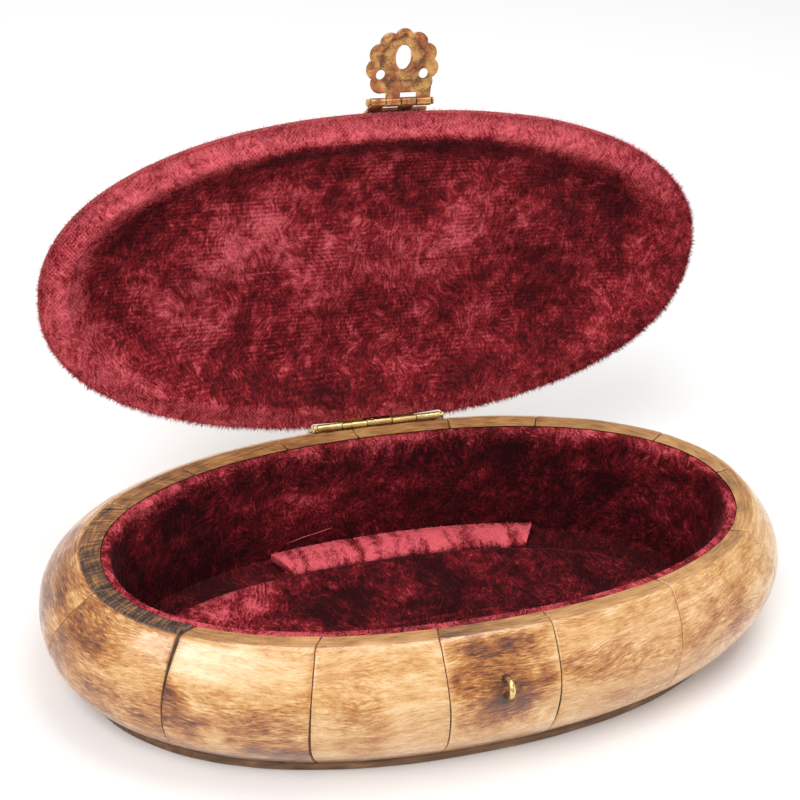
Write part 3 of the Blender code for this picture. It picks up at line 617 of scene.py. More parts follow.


# How each base stave is toasted: its ground tone, its edges, and its patches, each as
# (u along, v up, half width, half height, tone, violet). Stave 2's pale band along its top is a painted
# highlight
BASE_LOOKS = {
    1: (0.34, 0.08, [
        (0.20, 0.80, 0.30, 0.22, 0.24, 0.15), (0.62, 0.45, 0.36, 0.16, 0.14, 0.0),
        (0.35, 0.08, 0.7, 0.20, 0.10, 0.75), (0.10, 0.55, 0.12, 0.3, 0.16, 0.3),
        (0.80, 0.80, 0.25, 0.2, -0.10, 0.0),
    ]),
    2: (0.27, 0.10, [
        (0.05, 0.62, 0.17, 0.15, 0.34, 0.0), (0.10, 0.36, 0.22, 0.20, 0.22, 0.0),
        (0.62, 0.52, 0.42, 0.18, 0.22, 0.0), (0.35, 0.42, 0.14, 0.10, -0.30, 0.0),
        (0.55, 0.05, 0.7, 0.16, 0.14, 0.85), (0.68, 0.27, 0.20, 0.08, 0.30, 0.35),
        # Stave 2's last patch, a pale band along the top of its shoulder, is a painted highlight
        (0.88, 0.22, 0.15, 0.16, 0.26, 0.2), (0.45, 0.88, 0.6, 0.12, -0.20, 0.0),
    ]),
    3: (0.19, 0.05, [
        (0.36, 0.50, 0.20, 0.34, 0.15, 0.0), (0.5, 0.03, 0.8, 0.10, 0.16, 0.6),
        (0.75, 0.7, 0.3, 0.2, -0.07, 0.0),
    ]),
    4: (0.25, -0.08, [
        (0.46, 0.72, 0.43, 0.33, 0.33, 0.0), (0.60, 0.62, 0.28, 0.14, 0.16, 0.10),
        (0.20, 0.80, 0.18, 0.14, 0.10, 0.0), (0.5, 0.05, 0.8, 0.12, 0.10, 0.45),
        (0.48, 0.94, 0.5, 0.05, 0.14, 0.1),
    ]),
    5: (0.23, 0.05, [
        (0.40, 0.72, 0.40, 0.12, 0.16, 0.0), (0.70, 0.35, 0.30, 0.15, 0.14, 0.0),
        (0.5, 0.04, 0.8, 0.1, 0.12, 0.5),
    ]),
    6: (0.26, 0.06, [(0.35, 0.62, 0.30, 0.28, 0.12, 0.0), (0.70, 0.20, 0.40, 0.2, 0.12, 0.3)]),
    7: (0.19, 0.05, [(0.30, 0.80, 0.40, 0.2, -0.05, 0.0), (0.6, 0.3, 0.2, 0.2, 0.10, 0.0)]),
    8: (0.24, 0.06, [(0.70, 0.50, 0.30, 0.4, 0.12, 0.0)]),
    15: (0.32, 0.08, [
        (0.5, 0.8, 0.4, 0.2, 0.20, 0.3), (0.3, 0.3, 0.3, 0.3, 0.12, 0.0),
        (0.75, 0.6, 0.2, 0.3, 0.18, 0.2),
    ]),
}

# Each base stave's sawn top: tone at its two ends, and how far slanting stripes show
RING_TONES = {
    1: (0.80, 0.84, 1.0), 2: (0.50, 0.36, 0.1), 3: (0.36, 0.44, 0.0), 4: (0.66, 0.40, 0.1),
    5: (0.42, 0.38, 0.0), 6: (0.34, 0.46, 0.0), 7: (0.36, 0.52, 0.1), 8: (0.44, 0.42, 0.0),
    9: (0.46, 0.50, 0.0), 10: (0.42, 0.46, 0.0), 11: (0.50, 0.46, 0.0), 12: (0.46, 0.56, 0.0),
    13: (0.50, 0.60, 0.2), 14: (0.66, 0.58, 0.4), 15: (0.60, 0.82, 0.8),
}


def stave_look(seed, index=0, ring_columns=()):
    """The function that gives a stave's tone and violet haze at (u, v) and a section column.

    A stave with no index, or none in BASE_LOOKS, is toasted at random places by its seed.
    """
    default = (0.27 + 0.12 * wave(seed, 0.5), 0.06, [
        (0.5 + 0.4 * wave(seed, 3.1), 0.5 + 0.5 * wave(seed, 7.7), 0.3, 0.25, 0.28, 0.15),
        (0.5 + 0.7 * wave(seed, 9.4), 0.2, 0.35, 0.2, 0.18, 0.5 * abs(wave(seed, 5.5))),
    ])
    ground, edge_tone, patches = BASE_LOOKS.get(index, default)

    def look(u, v, column):
        if column in ring_columns:
            tone, end_tone, slanting = RING_TONES[index]
            tone += (end_tone - tone) * u + 0.16 * wave(seed + 2, u * 5, column * 0.3)
            return tone, slanting
        tone, haze = ground, 0.0
        tone += edge_tone * max(0.0, 1 - min(u, 1 - u) / 0.05)
        for k, (*extent, amount, violet) in enumerate(patches):
            strength = patch(u, v, *extent, seed + 3 * k)
            tone += amount * strength
            haze = max(haze, violet * strength)
        return tone, haze

    return look


def base_section():
    """The base's wall, from the inner rim edge outwards, down the outside and up the inside."""
    rim_x, rim_y = RIM_LENGTH / 2, RIM_WIDTH / 2
    low = BODY_HEIGHT - RIM_EDGE_DROP
    section = [(rim_x - WALL, rim_y - WALL - INNER_SHIFT, BODY_HEIGHT, INNER_SHIFT)]
    for i in range(RIM_EDGE_STEPS):
        t = i / RIM_EDGE_STEPS
        outward = (wall_half(low)[1] - rim_y) * t**2 - RIM_EDGE_REACH * (1 - t) ** 2
        z = BODY_HEIGHT - RIM_EDGE_DROP * t**2
        section.append((rim_x + outward, rim_y + outward, z, 0.0))
    levels = np.linspace(low, STAVE_FOOT, WALL_STEPS).tolist()
    section += [(*wall_half(z), z, 0.0) for z in levels]
    for z in levels[:0:-1]:
        half_x, half_y = wall_half(z)
        section.append((half_x - WALL, half_y - WALL - INNER_SHIFT, z, INNER_SHIFT))
    return section


# Bow in degrees of the seams that aren't straight, by their place in BASE_SEAMS
SEAM_BOWS = {1: 1.25, 2: 0.3, 3: 0.3, 4: -0.95, 5: -2.7}

# Half gaps in metres at the top, three heights between, and the foot
SEAM_GAPS = {
    0: (0.00009, 0.00009, 0.00010, 0.00010, 0.00009),
    1: (0.00036, 0.00022, 0.00012, 0.00009, 0.00008),
    2: (0.00007, 0.00008, 0.00016, 0.00022, 0.00010),
    3: (0.00008, 0.00009, 0.00013, 0.00010, 0.00008),
    4: (0.00008, 0.00014, 0.00022, 0.00014, 0.00009),
    5: (0.00010, 0.00011, 0.00013, 0.00011, 0.00009),
    6: (0.00011, 0.00012, 0.00012, 0.00010, 0.00009),
}
PLAIN_GAP = (0.00011, 0.00011, 0.00011, 0.00010, 0.00009)


def seam_gap(index=None):
    """The function that gives a seam's half gap by height share."""
    gaps = SEAM_GAPS.get(index, PLAIN_GAP)
    return lambda share: float(np.interp(share, (0.0, 0.25, 0.5, 0.75, 1.0), gaps))


def base_seams():
    """Each seam as (angle at the top, angle at the foot, bow), and the first again, a turn on."""
    seams = [(*seam, SEAM_BOWS.get(k, 0.0)) for k, seam in enumerate(BASE_SEAMS)]
    top, foot, bow = seams[0]
    return seams + [(top + 360, foot + 360, bow)]


def build_base_staves():
    section = base_section()
    fine = resample(section, GRAIN_SPACING)
    ring_columns = {k for k, point in enumerate(fine) if point[2] > BODY_HEIGHT - RING_BAND}
    seams = base_seams()
    count = len(BASE_SEAMS)
    for k in range(count):
        start = (seams[k], seam_gap(k))
        end = (seams[k + 1], seam_gap((k + 1) % count))
        look = stave_look(k + 1, k + 1, ring_columns)
        name = f"stave_{k + 1:02d}"
        obj = stave(name, section, start, end, BASE_SPAN, k + 1, look, base_rebate, ring_test=on_ring)
        settle(obj, "base", f"base_tile_{k + 1:02d}")


def on_ring(polygon):
    return polygon.normal.z > 0.8 and polygon.center.z > BODY_HEIGHT - RING_BAND


NOTCH_SIDE = HINGE_WIDTH / 2 + 2 * GAP + 0.0004
NOTCH_Y = HINGE_AXIS.y - HINGE_BARREL - GAP
RIM_NOTCH_DEPTH = 0.0015


def base_rebate(x, y, z):
    """Lowers the back of the rim where the hinge's knuckles turn."""
    if abs(x) < NOTCH_SIDE and y > NOTCH_Y:
        z = min(z, BODY_HEIGHT - RIM_NOTCH_DEPTH)
    return x, y, z


def lid_rebate(x, y, z):
    """Raises the closed lid's underside over the hinge's leaf."""
    if abs(x) < NOTCH_SIDE and y > NOTCH_Y - GAP - HINGE_LEAF_DEPTH:
        z = max(z, LID_BASE_Z + 2 * GAP + HINGE_LEAF)
    return x, y, z


def lid_section():
    """The lid's border, up over its outside and down its inside."""
    half_x, half_y = LID_LENGTH / 2, LID_WIDTH / 2
    inner_border = LID_BORDER - LID_RIM_FACE
    section = []
    for i in range(12):
        inset = LID_BORDER * i / 11
        z = LID_BASE_Z + dome_z(inset, LID_BORDER, LID_DOME)
        section.append((half_x - inset, half_y - inset, z, 0.0))
    for i in range(8):
        step = inner_border * (1 - i / 7)
        z = LID_BASE_Z + dome_z(step, inner_border, LID_DOME - LID_THICKNESS)
        section.append((half_x - LID_RIM_FACE - step, half_y - LID_RIM_FACE - step, z, 0.0))
    return section


def lid_angles():
    """Seams of the lid's border, parted evenly along its edge."""
    angles, lengths = arc_table(LID_LENGTH / 2, LID_WIDTH / 2, 0, 360, 1441)
    targets = lengths[-1] * (np.arange(LID_STAVES) + 0.5) / LID_STAVES
    return [float(angles[np.searchsorted(lengths, target)]) for target in targets]


def darker_edge(look):
    """The same look, stained along the lid's edge."""
    def edged(u, v, column):
        tone, haze = look(u, v, column)
        stain = max(0.0, 1 - v / 0.22)
        return tone + 0.28 * stain, max(haze, 0.4 * stain)
    return edged


def lid_seams():
    """The lid's straight seams, in the same form as the base's, and the first again."""
    angles = lid_angles()
    return [(angle, angle, 0.0) for angle in [*angles, angles[0] + 360]]


def build_lid_staves():
    section = lid_section()
    seams = lid_seams()
    for k in range(LID_STAVES):
        seed = 31 + k
        look = darker_edge(stave_look(seed))
        name = f"lid_stave_{k + 1:02d}"
        ends = (seams[k], seam_gap()), (seams[k + 1], seam_gap())
        obj = stave(name, section, *ends, LID_SPAN, seed, look, lid_rebate, pose=LID_POSE)
        settle(obj, "lid", f"lid_tile_{k + 1:02d}")
    half_x = LID_LENGTH / 2 - LID_BORDER - GAP
    half_y = LID_WIDTH / 2 - LID_BORDER - GAP
    tip = half_x * 0.994
    for k in range(LID_SLABS):
        x0 = -half_x + 2 * half_x * k / LID_SLABS + GAP / 2
        x1 = -half_x + 2 * half_x * (k + 1) / LID_SLABS - GAP / 2
        build_slab(k, half_x, half_y, max(x0, -tip), min(x1, tip))


SLAB_SPACING, SLAB_ACROSS, SLAB_UNDER = 0.0007, 40, 4
SLAB_EDGE, SLAB_EDGE_DROP, SLAB_WAVE = 0.0005, 0.00025, 0.00008


def build_slab(index, half_x, half_y, x0, x1):
    """A slab of the lid's flat top, as a grid of cross lines that end on the oval."""
    seed = 61 + index
    z0, z1 = LID_BASE_Z + LID_DOME - LID_THICKNESS, LID_BASE_Z + LID_DOME
    rows = max(8, round((x1 - x0) / SLAB_SPACING)) + 1
    look = stave_look(seed)
    verts, grain, toast, violet = [], [], [], []
    for x in np.linspace(x0, x1, rows):
        reach = half_y * (1 - (abs(x) / half_x) ** OVAL_POWER) ** (1 / OVAL_POWER)
        loop = [(-reach + 2 * reach * k / SLAB_ACROSS, z1) for k in range(SLAB_ACROSS + 1)]
        loop += [(reach - 2 * reach * k / SLAB_UNDER, z0) for k in range(SLAB_UNDER + 1)]
        for y, z in loop:
            lift = 0.0
            if z == z1:
                edge = min(reach - abs(y), x - x0, x1 - x)
                lift = SLAB_WAVE * wave(seed, x * 120, y * 120)
                lift -= SLAB_EDGE_DROP * max(0.0, 1 - edge / SLAB_EDGE)
            verts.append((x, y, z + lift))
            tone, haze = look((x - x0) / (x1 - x0), (y + half_y) / (2 * half_y), -1)
            grain.append((y, x, seed))
            toast.append(tone)
            violet.append(haze)
    faces = capped_grid(rows, SLAB_ACROSS + SLAB_UNDER + 2)
    attributes = {"grain": grain, "toast": toast, "violet": violet}
    obj = mesh_object(f"lid_slab_{index + 1}", verts, faces, [BONE], attributes, pose=LID_POSE)
    fix_normals(obj, 40)
    settle(obj, "lid", f"lid_top_{index + 1}")


GLUE_SET_BACK, GLUE_HALF_WIDTH, GLUE_WAVE, GLUE_SPACING = 0.00035, 0.0008, 0.00010, 0.0015
GLUE_STEPS = (-1.0, -0.35, 0.35, 1.0)


def glue_strips(name, section, seams, span, body, shape, pose=None):
    """Dark filler in every seam, set back a little from the staves' faces."""
    section = resample(section, GLUE_SPACING)
    normals = section_normals(section)
    foot, top = span
    strip = capped_grid(len(GLUE_STEPS), len(section))
    verts, faces = [], []
    for seed, seam in enumerate(seams):
        faces += [tuple(len(verts) + index for index in face) for face in strip]
        for step in GLUE_STEPS:
            for k, (half_x, half_y, z, shift) in enumerate(section):
                angle = seam_angle(seam, (top - z) / (top - foot))
                angle += step * GLUE_HALF_WIDTH / degree_length(half_x, half_y, angle)
                out, up = normals[k] * (GLUE_WAVE * wave(seed + 80, z * 700, step) - GLUE_SET_BACK)
                x, y = oval(half_x + out, half_y + out, angle)
                verts.append(shape(float(x), float(y) + shift, z + up))
    obj = mesh_object(name, verts, faces, [DARK_FILL], pose=pose)
    fix_normals(obj, 40)
    settle(obj, body)


def build_glue():
    glue_strips("base_glue", base_section(), base_seams()[:-1], BASE_SPAN, "base", base_rebate)
    glue_strips("lid_glue", lid_section(), lid_seams()[:-1], LID_SPAN, "lid", lid_rebate, pose=LID_POSE)


def build_board():
    """The wooden bottom plate, with softly broken edges."""
    half_x, half_y = wall_half(0.0)
    edge = 0.0003
    loops = [(-edge, 0.0), (0.0, edge), (0.0, PLATE_THICKNESS - edge), (-edge, PLATE_THICKNESS)]
    angles = np.linspace(0, 360, 257)[:-1]
    verts = []
    for step, z in loops:
        for angle in angles:
            outward = step + 0.00012 * wave(91, angle * 0.12, z * 400)
            verts.append((*oval(half_x + outward, half_y + outward, angle), z))
    faces = capped_grid(len(loops), len(angles))
    obj = mesh_object("bottom_board", verts, faces, [WOOD, DARK_FILL])
    fix_normals(obj, 35)
    # The top face, inside the box, takes the seams' dark fill
    for polygon in obj.data.polygons:
        polygon.material_index = int(polygon.normal.z > 0.9)
    settle(obj, "base", "bottom_plate")


# Velvet

class Band:
    """A surface swept round the oval: a section of (inset, z) from given half sizes."""

    def __init__(self, half_x, half_y, section, angles=(0.0, 360.0), centre=(0.0, 0.0)):
        self.half_x, self.half_y = half_x, half_y
        self.section = np.array(section, dtype=float)
        self.angles, self.lengths = arc_table(half_x, half_y, *angles, count=2000)
        steps = np.hypot(*np.diff(self.section, axis=0).T)
        self.along = np.concatenate(([0.0], np.cumsum(steps)))
        self.centre = centre

    def even_angles(self, count):
        """Angles evenly spaced along the oval."""
        return np.interp(np.linspace(0, self.lengths[-1], count), self.lengths, self.angles)

    def rings(self, angles):
        return rings(self.half_x, self.half_y, self.section, angles, self.centre)

    def point(self, angle, along):
        inset = np.interp(along, self.along, self.section[:, 0])
        z = np.interp(along, self.along, self.section[:, 1])
        x, y = oval(self.half_x - inset, self.half_y - inset, angle)
        return np.stack((x + self.centre[0], y + self.centre[1], z), axis=-1)

    def frame(self, angle, along):
        """Points, tangents round and along the section, and normals."""
        small_turn, small_step = 0.05, 0.00004
        around = self.point(angle + small_turn, along) - self.point(angle - small_turn, along)
        across = self.point(angle, along + small_step) - self.point(angle, along - small_step)
        around /= np.linalg.norm(around, axis=1)[:, None] + 1e-12
        across /= np.linalg.norm(across, axis=1)[:, None] + 1e-12
        normal = np.cross(across, around)
        normal /= np.linalg.norm(normal, axis=1)[:, None] + 1e-12
        return self.point(angle, along), around, across, normal

    def scatter(self, count, rng, low=0.0, high=1.0, sector=None):
        """Random (angle, along) with an even density, between shares of the section."""
        first, last = np.interp(sector or self.angles[[0, -1]], self.angles, self.lengths)
        turn = np.interp(first + rng.random(count) * (last - first), self.lengths, self.angles)
        along = (low + (high - low) * rng.random(count)) * self.along[-1]
        return turn, along


def noise_field(points, scale, seed):
    """Smooth noise at each point."""
    return np.array([noise.noise(Vector(p) * scale + Vector((0, 0, seed * 11.7))) for p in points])


def clouds(points, seed, *layers):
    """Layers of noise added up, each given as (scale, weight)."""
    fields = [weight * noise_field(points, scale, seed + k) for k, (scale, weight) in enumerate(layers)]
    return sum(fields)


def spot(first, second, centre, radii):
    """1 at a centre and fading round it."""
    return np.exp(-(((first - centre[0]) / radii[0]) ** 2 + ((second - centre[1]) / radii[1]) ** 2))


def pile(points, directions, lengths, widths, tones, weaves, rng):
    """Vertices, faces and attributes of thin closed four-sided fibres."""
    count = len(points)
    random = rng.normal(size=(count, 3))
    side = np.cross(directions, random)
    side /= np.linalg.norm(side, axis=1)[:, None] + 1e-12
    other = np.cross(directions, side)
    verts = np.empty((count, 4, 3))
    for k in range(3):
        turn = 2 * math.pi * k / 3
        verts[:, k] = points + widths[:, None] * (math.cos(turn) * side + math.sin(turn) * other)
    verts[:, 3] = points + directions * lengths[:, None]
    base = np.arange(count)[:, None] * 4
    faces = [(0, 1, 3), (1, 2, 3), (2, 0, 3), (0, 2, 1)]
    faces = np.concatenate([base + np.array(face) for face in faces])
    tip = np.tile(np.array([0.0, 0.0, 0.0, 1.0]), count)
    attributes = {"tip": tip, "tone": np.repeat(tones, 4), "weave": np.repeat(weaves, 4)}
    return verts.reshape(-1, 3), faces, attributes


def pile_object(name, batches, material, body, pose=None):
    """One object of all the fibres in the batches."""
    verts = np.concatenate([batch[0] for batch in batches])
    offset, faces = 0, []
    for batch_verts, batch_faces, _ in batches:
        faces.append(batch_faces + offset)
        offset += len(batch_verts)
    faces = np.concatenate(faces)
    mesh = bpy.data.meshes.new(name)
    mesh.vertices.add(len(verts))
    mesh.vertices.foreach_set("co", verts.ravel())
    mesh.loops.add(len(faces) * 3)
    mesh.loops.foreach_set("vertex_index", faces.ravel().astype(np.int32))
    mesh.polygons.add(len(faces))
    mesh.polygons.foreach_set("loop_start", np.arange(len(faces), dtype=np.int32) * 3)
    mesh.update(calc_edges=True)
    for key in ("tip", "tone", "weave"):
        values = np.concatenate([batch[2][key] for batch in batches]).astype(np.float32)
        layer = mesh.attributes.new(key, "FLOAT", "POINT")
        layer.data.foreach_set("value", values)
    mesh.materials.append(material)
    mesh.shade_smooth()
    settle(linked(name, mesh, pose), body)


FIBRE_ROOT = 0.00005


def nap_batch(
    band, count, rng, size, lean, tone_of, shares=(0.0, 1.0), keep=None, spread=0.45, sector=None,
):
    """Fibres of a size (length, width) over part of a band, brushed by slowly turning noise."""
    angle, along = band.scatter(count, rng, *shares, sector)
    points, around, across, normal = band.frame(angle, along)
    if keep is not None:
        kept = keep(points)
        points, around, across, normal = points[kept], around[kept], across[kept], normal[kept]
    count = len(points)
    brush = (0.6 + noise_field(points, 95, 3))[:, None]
    turn = noise_field(points, 60, 8) * 4.0
    lie = np.cos(turn)[:, None] * around + np.sin(turn)[:, None] * across
    direction = normal + lean * lie * brush
    direction += rng.normal(size=(count, 3)) * spread
    direction /= np.linalg.norm(direction, axis=1)[:, None]
    outward = np.einsum("ij,ij->i", direction, normal)
    direction += normal * np.clip(0.25 - outward, 0, 1)[:, None]
    lengths = size[0] * (0.6 + 0.8 * rng.random(count))
    widths = size[1] * (0.7 + 0.6 * rng.random(count))
    tones = tone_of(points) + rng.normal(size=count) * 0.10
    return pile(points - normal * FIBRE_ROOT, direction, lengths, widths, tones, rim_share(points), rng)


# Painted light: the same tone made lighter, for fibres on crests and edges
def painted_lighter(tone_of, amount):
    return lambda points: tone_of(points) + amount


LID_HALF = (LID_LENGTH / 2, LID_WIDTH / 2)
LID_NOTCH_DEPTH = 0.0022


def rim_share(points):
    """1 on the flat rim of the lid's velvet and 0 in its recess."""
    return 1 / (1 + np.exp(-(oval_share(points[:, 0], points[:, 1], *LID_HALF) - 0.86) / 0.010))


def lid_face_section():
    """The lid velvet's visible face as (inset, z), from its outer edge to the recess's floor."""
    corners = [
        (LID_LINING_INSET, VELVET), (LID_LINING_INSET, 0.0), (ROLL_INSET - 0.0018, 0.0),
        (ROLL_INSET - 0.0009, -ROLL_PROUD * 0.7), (ROLL_INSET, -ROLL_PROUD),
        (ROLL_INSET + 0.0010, -ROLL_PROUD * 0.7), (ROLL_INSET + 0.0018, RECESS_DEPTH * 0.06),
        (ROLL_INSET + 0.0038, RECESS_DEPTH * 0.36), (ROLL_INSET + 0.0062, RECESS_DEPTH * 0.70),
        (ROLL_INSET + 0.0085, RECESS_DEPTH * 0.93), (ROLL_INSET + 0.0107, RECESS_DEPTH),
    ]
    insets = np.linspace(corners[-1][0], LID_WIDTH / 2 - 0.0003, 25)[1:]
    floor = [(inset, RECESS_DEPTH) for inset in insets]
    return [(inset, LID_FACE_Z + z) for inset, z in corners + floor]


def lid_back_section():
    """The lid velvet's hidden back, which follows the underside of the dome."""
    slope = LID_BORDER - LID_RIM_FACE
    ceiling = LID_DOME - LID_THICKNESS
    section = [(LID_RIM_FACE + GAP, VELVET)]
    for share in (0.17, 0.35, 0.55, 0.8):
        z = VELVET + dome_z(slope * share, slope, ceiling)
        section.append((LID_RIM_FACE + slope * share + 1.4 * GAP, z))
    return [(inset, LID_FACE_Z + z) for inset, z in section]


def hinge_notch_keep(points):
    """False where the hinge's notch leaves no velvet."""
    return ~((np.abs(points[:, 0]) < NOTCH_SIDE) & (points[:, 1] > NOTCH_Y))


def lid_tone(points):
    """Lighter on the rim band, with painted light on its upper side and painted shade on its right;
    cloudy in the recess, with two lighter spots and painted shade down the recess wall.
    """
    x, y, _ = points.T
    band = rim_share(points)
    light_spot = spot(x, y, (-0.028, -0.006), (0.022, 0.012))
    light_spot += 0.8 * spot(x, y, (0.018, 0.004), (0.016, 0.014))
    # Painted shade down the recess wall inside the roll, deeper on the lid's upper side
    recess_painted_shade = np.exp(-(((oval_share(x, y, *LID_HALF) - 0.79) / 0.05) ** 2)) * (1 - band)
    upper = np.clip(-y / LID_HALF[1], 0, 1)
    right = np.clip(x / LID_HALF[0], 0, 1)
    tone = 0.42 + 0.52 * clouds(points, 5, (62, 0.60), (170, 0.45), (480, 0.35)) * (1 - 0.65 * band)
    # Painted light on the band's upper side and painted shade on its right
    tone += band * (0.27 + 0.15 * upper - 0.34 * right * (1 - upper))
    return tone + 0.16 * light_spot * (1 - band) - 0.24 * recess_painted_shade * (0.4 + upper)


def build_lid_velvet():
    rng = np.random.default_rng(11)
    face = lid_face_section()
    full = face[::-1] + lid_back_section()
    band = Band(*LID_HALF, face)
    sweep = rings(*LID_HALF, full, band.even_angles(361)[:-1])
    x, y, z = np.moveaxis(sweep, -1, 0)
    in_notch = (np.abs(x) < NOTCH_SIDE) & (y > NOTCH_Y) & (z < LID_FACE_Z + LID_NOTCH_DEPTH)
    y[in_notch] = NOTCH_Y
    points = sweep.reshape(-1, 3)
    attributes = {"tone": lid_tone(points), "tip": np.zeros(len(points)), "weave": rim_share(points)}
    faces = capped_grid(*sweep.shape[:2])
    obj = mesh_object("lid_velvet", points, faces, [VELVET_LID], attributes, pose=LID_POSE)
    fix_normals(obj, 60)
    settle(obj, "lid", "lid_lining")
    edge, roll = band.along[[2, 6]] / band.along[-1]
    batches = [
        nap_batch(band, 22000, rng, (0.00105, 0.00008), 1.0, lid_tone, (roll * 0.9, 1.0)),
        nap_batch(band, 14000, rng, (0.00075, 0.00007), 0.7, lid_tone, (0.0, roll), hinge_notch_keep),
        # The fringe along the outer edge has painted light
        nap_batch(band, 12500, rng, (0.0013, 0.00008), 0.8, painted_lighter(lid_tone, 0.06),
                  (0.0, edge * 0.30), hinge_notch_keep, spread=0.7),
    ]
    pile_object("lid_velvet_pile", batches, VELVET_LID, "lid", pose=LID_POSE)


def lining_faces():
    """Half sizes of the wall lining's outer face at its top and at its foot."""
    top = (RIM_LENGTH / 2 - WALL - GAP, RIM_WIDTH / 2 - WALL - INNER_SHIFT - GAP)
    return top, (top[0] - LINING_LEAN, top[1] - LINING_LEAN)


def wall_tone(points):
    """Painted shade low down, clouds, a painted pool of light on the back wall, and painted light along
    the edge.
    """
    x, y, z = points.T
    # Painted light along the top edge, and painted shade lower down the wall
    rim = np.clip((z - (BODY_HEIGHT - 0.0045)) / 0.004, 0, 1)
    upper = np.clip((z - 0.010) / 0.015, 0, 1)
    # A painted pool of light on the back wall
    nap_and_light_patch = spot(x, z, (-0.020, 0.014), (0.011, 0.006)) * (y > 0)
    cloudy = clouds(points, 21, (60, 0.55), (180, 0.45), (520, 0.35)) * (0.5 + 0.5 * upper)
    return 0.11 + 0.13 * upper + 0.66 * cloudy + 0.28 * rim + 0.30 * nap_and_light_patch


def floor_tone(points):
    """Cloudy, with a painted pool of light on the left and painted shade low down the pad's sides."""
    x, y, z = points.T
    # A painted pool of light on the left of the pad, and painted shade low on its sides
    light = spot(x, y, (-0.043, 0.010), (0.014, 0.008))
    side = np.clip((STAVE_FOOT + PAD_THICKNESS * 0.8 - z) / PAD_THICKNESS, 0, 1)
    cloudy = clouds(points, 31, (75, 0.55), (210, 0.45), (560, 0.3))
    return 0.18 + 0.62 * cloudy + 0.50 * light - 0.35 * side


def strip_tone(points):
    """Brushed across its length, painted bright on top as lit from above, with painted shade down its
    sides.
    """
    nap_and_light_patch = noise_field(points * np.array([1.0, 0.12, 0.12]), 520, 41)
    # Painted light from above: lighter up top, painted shade down the sides
    side = np.clip((points[:, 2] - STAVE_FOOT) / STRIP_THICKNESS, 0, 1)
    return 0.46 + 0.52 * side + 0.60 * nap_and_light_patch + 0.40 * noise_field(points, 200, 42)


def velvet_piece(name, sweep, faces, tone_of, sharp, node):
    """A swept piece of the base's velvet."""
    points = sweep.reshape(-1, 3)
    attributes = {"tone": tone_of(points), "tip": np.zeros(len(points))}
    obj = mesh_object(name, points, faces, [VELVET_BASE], attributes)
    fix_normals(obj, sharp)
    settle(obj, "base", node)
    return obj


LINING_ROUND, LINING_TURN_IN = 0.0005, 0.0105
UNDER_PAD, UNDER_LINING = 0.00008, 0.00022
FRONT_SECTOR, BACK_SECTOR = (233.0, 282.0), (60.0, 165.0)


def lining_section(top_z):
    """The wall lining as (inset, z): up its outer face, over the edge, down and in under the pad."""
    outer, inner = -0.8 * GAP, LINING + LINING_LEAN
    shoulder = top_z - LINING_ROUND
    section = [
        (LINING_LEAN, STAVE_FOOT - 0.0001), (outer, shoulder), (outer / 2, top_z),
        (LINING - LINING_ROUND, top_z), (LINING, shoulder),
    ]
    for share in np.linspace(0, 1, 14)[1:-1]:
        section.append((LINING + LINING_LEAN * share, shoulder + (STAVE_FOOT - top_z) * share))
    section.append((inner, STAVE_FOOT + 0.0001))
    for share in np.linspace(0.05, 1, 8):
        section.append((inner + LINING_TURN_IN * share, STAVE_FOOT - UNDER_PAD))
    low = STAVE_FOOT - UNDER_LINING
    return section + [(inner + LINING_TURN_IN, low), (LINING_LEAN, low)]


def build_base_velvet():
    rng = np.random.default_rng(23)
    top, bottom = lining_faces()
    band = Band(*top, lining_section(BODY_HEIGHT - LINING_DROP / 4), centre=(0.0, INNER_SHIFT))
    sweep = band.rings(band.even_angles(361)[:-1]).swapaxes(0, 1)
    faces = grid_faces(*sweep.shape[:2], closed_rows=True)
    velvet_piece("base_velvet_wall", sweep, faces, wall_tone, 60, "base_lining_wall")
    start, crest, end = band.along[[2, 4, -3]] / band.along[-1]
    batches = [
        nap_batch(band, 30000, rng, (0.00120, 0.00009), 1.0, wall_tone, (crest, end)),
        # The crest's fibres have painted light, stronger at the front and on the back-left wall
        nap_batch(band, 10000, rng, (0.00090, 0.00007), 0.6, painted_lighter(wall_tone, 0.08),
                  (start * 0.97, crest + 0.03), spread=0.8),
        nap_batch(band, 3600, rng, (0.00140, 0.00008), 0.5, painted_lighter(wall_tone, 0.26),
                  (start * 0.97, crest), spread=0.9, sector=FRONT_SECTOR),
        nap_batch(band, 5000, rng, (0.00180, 0.00009), 0.8, painted_lighter(wall_tone, 0.20),
                  (start, crest + 0.05), spread=0.8, sector=BACK_SECTOR),
    ]
    pile_object("base_velvet_wall_pile", batches, VELVET_BASE, "base")
    build_pad(rng)
    build_strip(rng, bottom)


def build_pad(rng):
    """The velvet floor pad, a little uneven on top."""
    half_x, half_y = PAD_LENGTH / 2, PAD_WIDTH / 2
    edge = PAD_THICKNESS / 2
    top = STAVE_FOOT + PAD_THICKNESS
    section = [
        (edge * 0.4, STAVE_FOOT), (0.0, STAVE_FOOT + edge * 0.7), (edge * 0.25, top - edge * 0.35),
        (edge, top),
    ]
    section += [(inset, top) for inset in np.linspace(edge, half_y - 0.0004, 16)[1:]]
    band = Band(half_x, half_y, section, centre=PAD_CENTRE)
    sweep = band.rings(band.even_angles(241)[:-1])
    faces = capped_grid(*sweep.shape[:2])
    points = sweep.reshape(-1, 3)
    points[:, 2] += 0.00025 * noise_field(points, 130, 35) * (points[:, 2] > top - 1e-5)
    pad = velvet_piece("base_velvet_pad", points, faces, floor_tone, 60, "base_lining_floor")
    batches = [nap_batch(band, 32000, rng, (0.00115, 0.00009), 1.0, floor_tone)]
    pile_object("base_velvet_pad_pile", batches, VELVET_BASE, "base")


